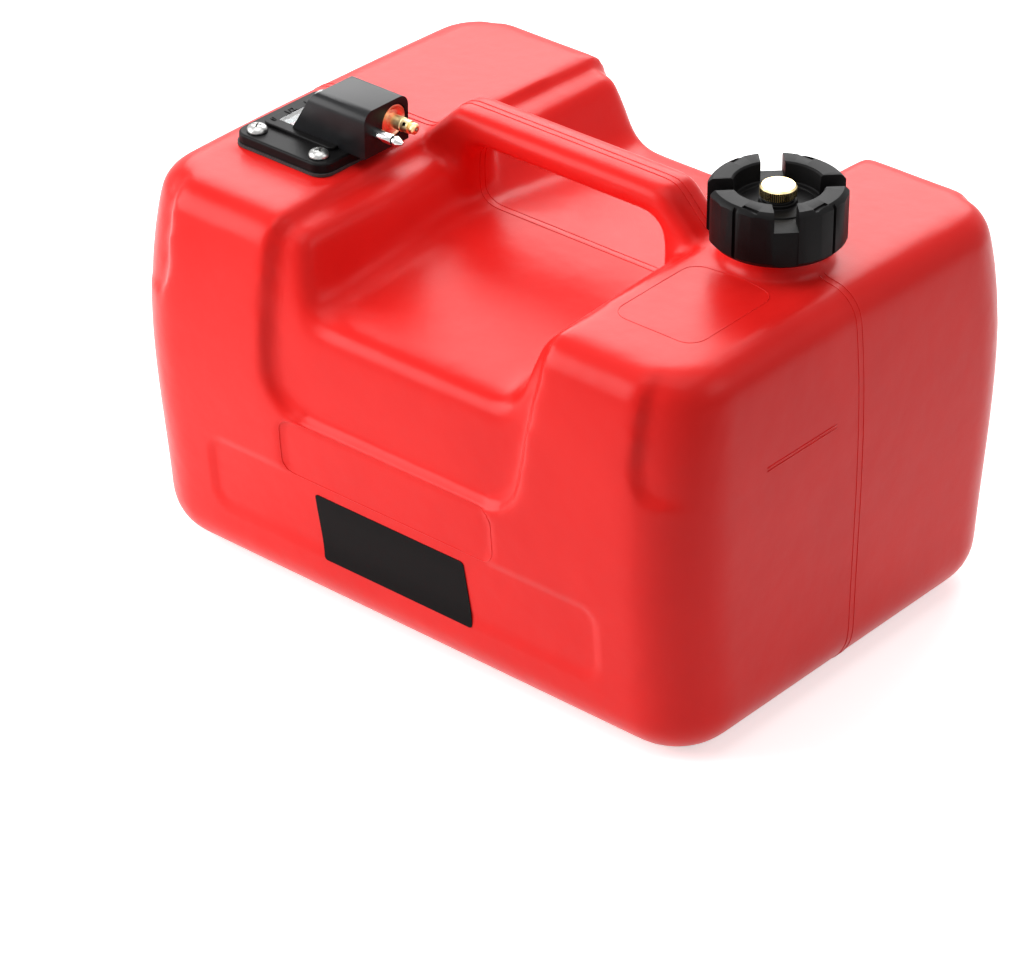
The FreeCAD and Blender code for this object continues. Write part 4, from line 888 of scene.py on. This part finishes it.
drum_white = Finish("drum_white")
across = drum_white.along("X") - DRUM_AXIS.x
upward = drum_white.along("Z") - DRUM_AXIS.z
band_edge = BAND_START + BAND_PER_RADIAN * across.maths("ARCTAN2", across, upward)
moulding = drum_white.noise(300.0, 2.0)
banded = drum_white.blend(
    drum_white.along("Y") < band_edge,
    drum_white.tones(moulding, (0.3, (0.42, 0.44, 0.46)), (0.7, (0.50, 0.52, 0.54))),
    drum_white.tones(moulding, (0.3, (0.60, 0.03, 0.02)), (0.7, (0.68, 0.04, 0.03))),
)
drum_white.coat(Base_Color=banded, Roughness=0.32 + 0.1 * moulding)
dress(frame["nodes"]["gauge_drum"], drum_white.material)


# Under the plate a pressed steel bracket, held by two small screws, carries the drum on a
# pin. The float's wire arm plugs into the drum, and a foam float turns on its cross axle.
for name in ("gauge_bracket", "bracket_screws", "pivot_pin", "float_arm", "float_clip"):
    dress(frame["nodes"][name], stainless_steel.material)
black_foam = Finish("black_foam")
cells = black_foam.node("ShaderNodeTexVoronoi", None, out="Distance", Vector=black_foam.place(),
                        Scale=1300.0)
pores = black_foam.noise(240.0, 3.0)
black_foam.coat(
    Base_Color=black_foam.tones(pores, (0.3, (0.020, 0.020, 0.020)), (0.8, (0.045, 0.044, 0.043))),
    Roughness=0.8 + 0.1 * pores, Normal=black_foam.relief(cells, 0.0002, 0.6),
)
dress(frame["nodes"]["float"], black_foam.material)


# The pickup tube hangs from the plate to the tank's floor, with a slotted strainer pushed
# on its foot. Both are undyed nylon, which is a milky yellowish white.
pale_nylon = Finish("pale_nylon")
milk = pale_nylon.noise(60.0, 3.0)
pale_nylon.coat(
    Base_Color=pale_nylon.tones(milk, (0.3, (0.72, 0.69, 0.58)), (0.7, (0.80, 0.78, 0.68))),
    Roughness=0.38 + 0.1 * milk, Subsurface_Weight=0.15, Subsurface_Scale=0.002,
)
for name in ("pickup_tube", "pickup_strainer"):
    dress(frame["nodes"][name], pale_nylon.material)


# The connector's housing is a smooth black moulding that sits on the plate's platform, with
# a sloping back and soft edges. The fuel's way runs through it to the brass prong.
HOUSING_FRONT, HOUSING_BACK = -60.35, -28.95
HOUSING_FACE, HOUSING_TOP = -80, 240.5
HOUSING_OUTLINE = [
    (-128.1, 217.8), (-97.6, 217.8), (-97.6, 216.0), (HOUSING_FACE, 216.0),
    (HOUSING_FACE, HOUSING_TOP), (-114.3, HOUSING_TOP),
]
BROW_ROUND, TOP_ROUND, EDGE_BREAK = 2.6 * MM, 6 * MM, 0.5 * MM
PRONG = Vector((-80, -39, 229)) * MM
PIN = Vector((-80, -52.5, 227.5)) * MM
LYING = (0, QUARTER, 0)
wedge = drawn("housing_wedge", HOUSING_OUTLINE)
bpy.ops.mesh.edge_face_add()
bpy.ops.transform.translate(value=(0, (HOUSING_FRONT - 1) * MM, 0))
bpy.ops.mesh.extrude_region_move(
    TRANSFORM_OT_translate=dict(value=(0, (HOUSING_BACK - HOUSING_FRONT + 2) * MM, 0)))
bpy.ops.mesh.select_all(action="SELECT")
bpy.ops.mesh.normals_make_consistent(inside=False)
done()
pick(wedge, "EDGE", lambda c, way: c.x < -0.114 and c.z > 0.240 and abs(way.y) > 0.9)
bpy.ops.mesh.bevel(offset=BROW_ROUND, segments=8, affect="EDGES")
done()
housing = block("connector_housing_detail", (-130, HOUSING_FRONT, 210),
                (HOUSING_FACE, HOUSING_BACK, HOUSING_TOP))
pick(housing, "EDGE", lambda c, way: c.z > 0.24 and abs(way.x) > 0.9)
bpy.ops.mesh.bevel(offset=TOP_ROUND, segments=12, affect="EDGES")
done()
combine(housing, wedge, "INTERSECT")
crisp(housing, EDGE_BREAK, 3, 40)
for place, low, radius in (
    (PRONG, -3.6, 8.7), (PRONG, -20.8, 5.05), (PRONG, -26.5, 2.1), (PIN, -15, 2.02),
):
    bore = put(rod("bore_cutter", 0, 0, low * MM, 2 * MM, radius * MM, 48), place, LYING)
    combine(housing, bore, solver="EXACT")
smooth(housing, 32)
black_gloss = Finish("black_gloss_nylon")
flow = black_gloss.noise(110.0, 3.0)
black_gloss.coat(
    Base_Color=black_gloss.tones(flow, (0.3, (0.008, 0.008, 0.009)), (0.7, (0.012, 0.012, 0.013))),
    Roughness=0.30 + 0.08 * flow, Specular_IOR_Level=0.18,
    Normal=black_gloss.relief(black_gloss.noise(1900.0, 2.0), 0.00003, 0.4),
)
dress(housing, black_gloss.material, "tank", ["connector_housing"])


# The fuel prong is turned from brass: a cup-shaped flange on a rubber washer, a barrel with
# two cross holes, a ring groove and a nose, in which a sprung valve pin shows.
CROSS_HOLE_TURN, CROSS_HOLE_RADIUS, CROSS_HOLE_PLACE = -0.68, 1.05 * MM, 8.4 * MM
CUP_MOUTH, BORE_SHADE_RADIUS, BORE_SHADE_DEPTH = 0.2 * MM, 2.95 * MM, 10.2 * MM
PRONG_HALF_SECTION = [
    (1.8, -20), (5, -20), (5, -2.8), (8.5, -2.8), (8.5, -0.9), (8.2, -0.5), (7.6, -0.4), (6.9, -1.3),
    (5.4, -1.8), (4.0, -1.5), (3.6, -0.6), (3.6, 5.9), (3.3, 6.3), (3.3, 10.6), (2.9, 10.7), (2.2, 11.0),
    (2.2, 11.4), (2.8, 11.7), (2.9, 12.0), (2.9, 13.3), (2.6, 13.9), (1.8, 14.5), (1.1, 14.5), (1.1, 4.3),
    (1.8, 4.3),
]
prong = turned("fuel_prong_detail", PRONG_HALF_SECTION, 64)
for turn in (CROSS_HOLE_TURN, CROSS_HOLE_TURN + QUARTER):
    bpy.ops.object.select_all(action="DESELECT")
    bpy.ops.mesh.primitive_cylinder_add(vertices=24, radius=CROSS_HOLE_RADIUS, depth=14 * MM,
                                        location=(0, 0, CROSS_HOLE_PLACE), rotation=(QUARTER, 0, turn))
    combine(prong, settle("cross_hole_cutter"), solver="EXACT")
smooth(prong, 30)
put(prong, PRONG, LYING)
polished_brass = Finish("polished_brass")
forward = polished_brass.along("X") - PRONG.x
sideways = polished_brass.along("Y") - PRONG.y
upward = polished_brass.along("Z") - PRONG.z
warm = polished_brass.noise(160.0, 3.0)
# The cup behind its mouth is tinted copper red: a painted reflection of the red tank in the brass flange.
brass_with_red_reflection = polished_brass.blend(
    forward > CUP_MOUTH,
    polished_brass.tones(warm, (0.3, (0.80, 0.46, 0.30)), (0.7, (0.88, 0.56, 0.38))),
    polished_brass.tones(warm, (0.3, (0.82, 0.60, 0.27)), (0.7, (0.92, 0.74, 0.42))),
)
# The bore and the cross holes are painted near black: painted shade inside the prong.
inside = ((sideways * sideways + upward * upward) ** 0.5 < BORE_SHADE_RADIUS) * (forward < BORE_SHADE_DEPTH)
shaded = polished_brass.blend(
    inside, brass_with_red_reflection, polished_brass.tones(warm, (0.3, (0.03, 0.02, 0.01)), (0.7, (0.06, 0.04, 0.02)))
)
polished_brass.coat(Base_Color=shaded, Metallic=1.0, Roughness=0.26 + 0.14 * warm,
                    Normal=polished_brass.relief(polished_brass.noise(900.0, 1.0), 0.00001, 0.05))
dress(prong, polished_brass.material, "tank", ["brass_connector"])
dress(frame["nodes"]["connector_poppet"], stainless_steel.material)
dress(frame["nodes"]["spring_retainer"], brass.material)
spring = copy_of("poppet_spring", "poppet_spring_detail")
smooth(spring, 50)
dress(spring, stainless_steel.material, "tank", ["poppet_spring"])
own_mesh(spring)


# The guide pin beside it is polished steel, pressed into the housing. Its ring groove and
# cone lead the hose's plug on and hold its catch.
PIN_HALF_SECTION = [
    (0, -15), (2, -15), (2, 0), (2.7, 0), (2.7, 11.2), (2.55, 11.5), (2.15, 11.7), (2.15, 12.0),
    (2.55, 12.2), (2.7, 12.5), (2.7, 14.0), (2.5, 14.5), (0.7, 17.9), (0, 18),
]
GROOVE_START, GROOVE_END = 11.45 * MM, 12.25 * MM
pin = turned("guide_pin_detail", PIN_HALF_SECTION, 48)
smooth(pin, 30)
put(pin, PIN, LYING)
polished_steel = Finish("polished_steel")
smear = polished_steel.noise(200.0, 3.0)
forward = polished_steel.along("X") - PIN.x
groove = (forward > GROOVE_START) * (forward < GROOVE_END)
polished_steel.coat(
    Base_Color=polished_steel.blend(
        groove,
        polished_steel.tones(smear, (0.3, (0.50, 0.50, 0.50)), (0.8, (0.62, 0.62, 0.61))),
        polished_steel.tones(smear, (0.3, (0.03, 0.03, 0.03)), (0.8, (0.06, 0.06, 0.06))),
    ),
    Metallic=1.0, Roughness=0.06 + 0.10 * smear,
    Normal=polished_steel.relief(polished_steel.noise(900.0, 1.0), 0.00001, 0.05),
)
dress(pin, polished_steel.material, "tank", ["guide_pin"])
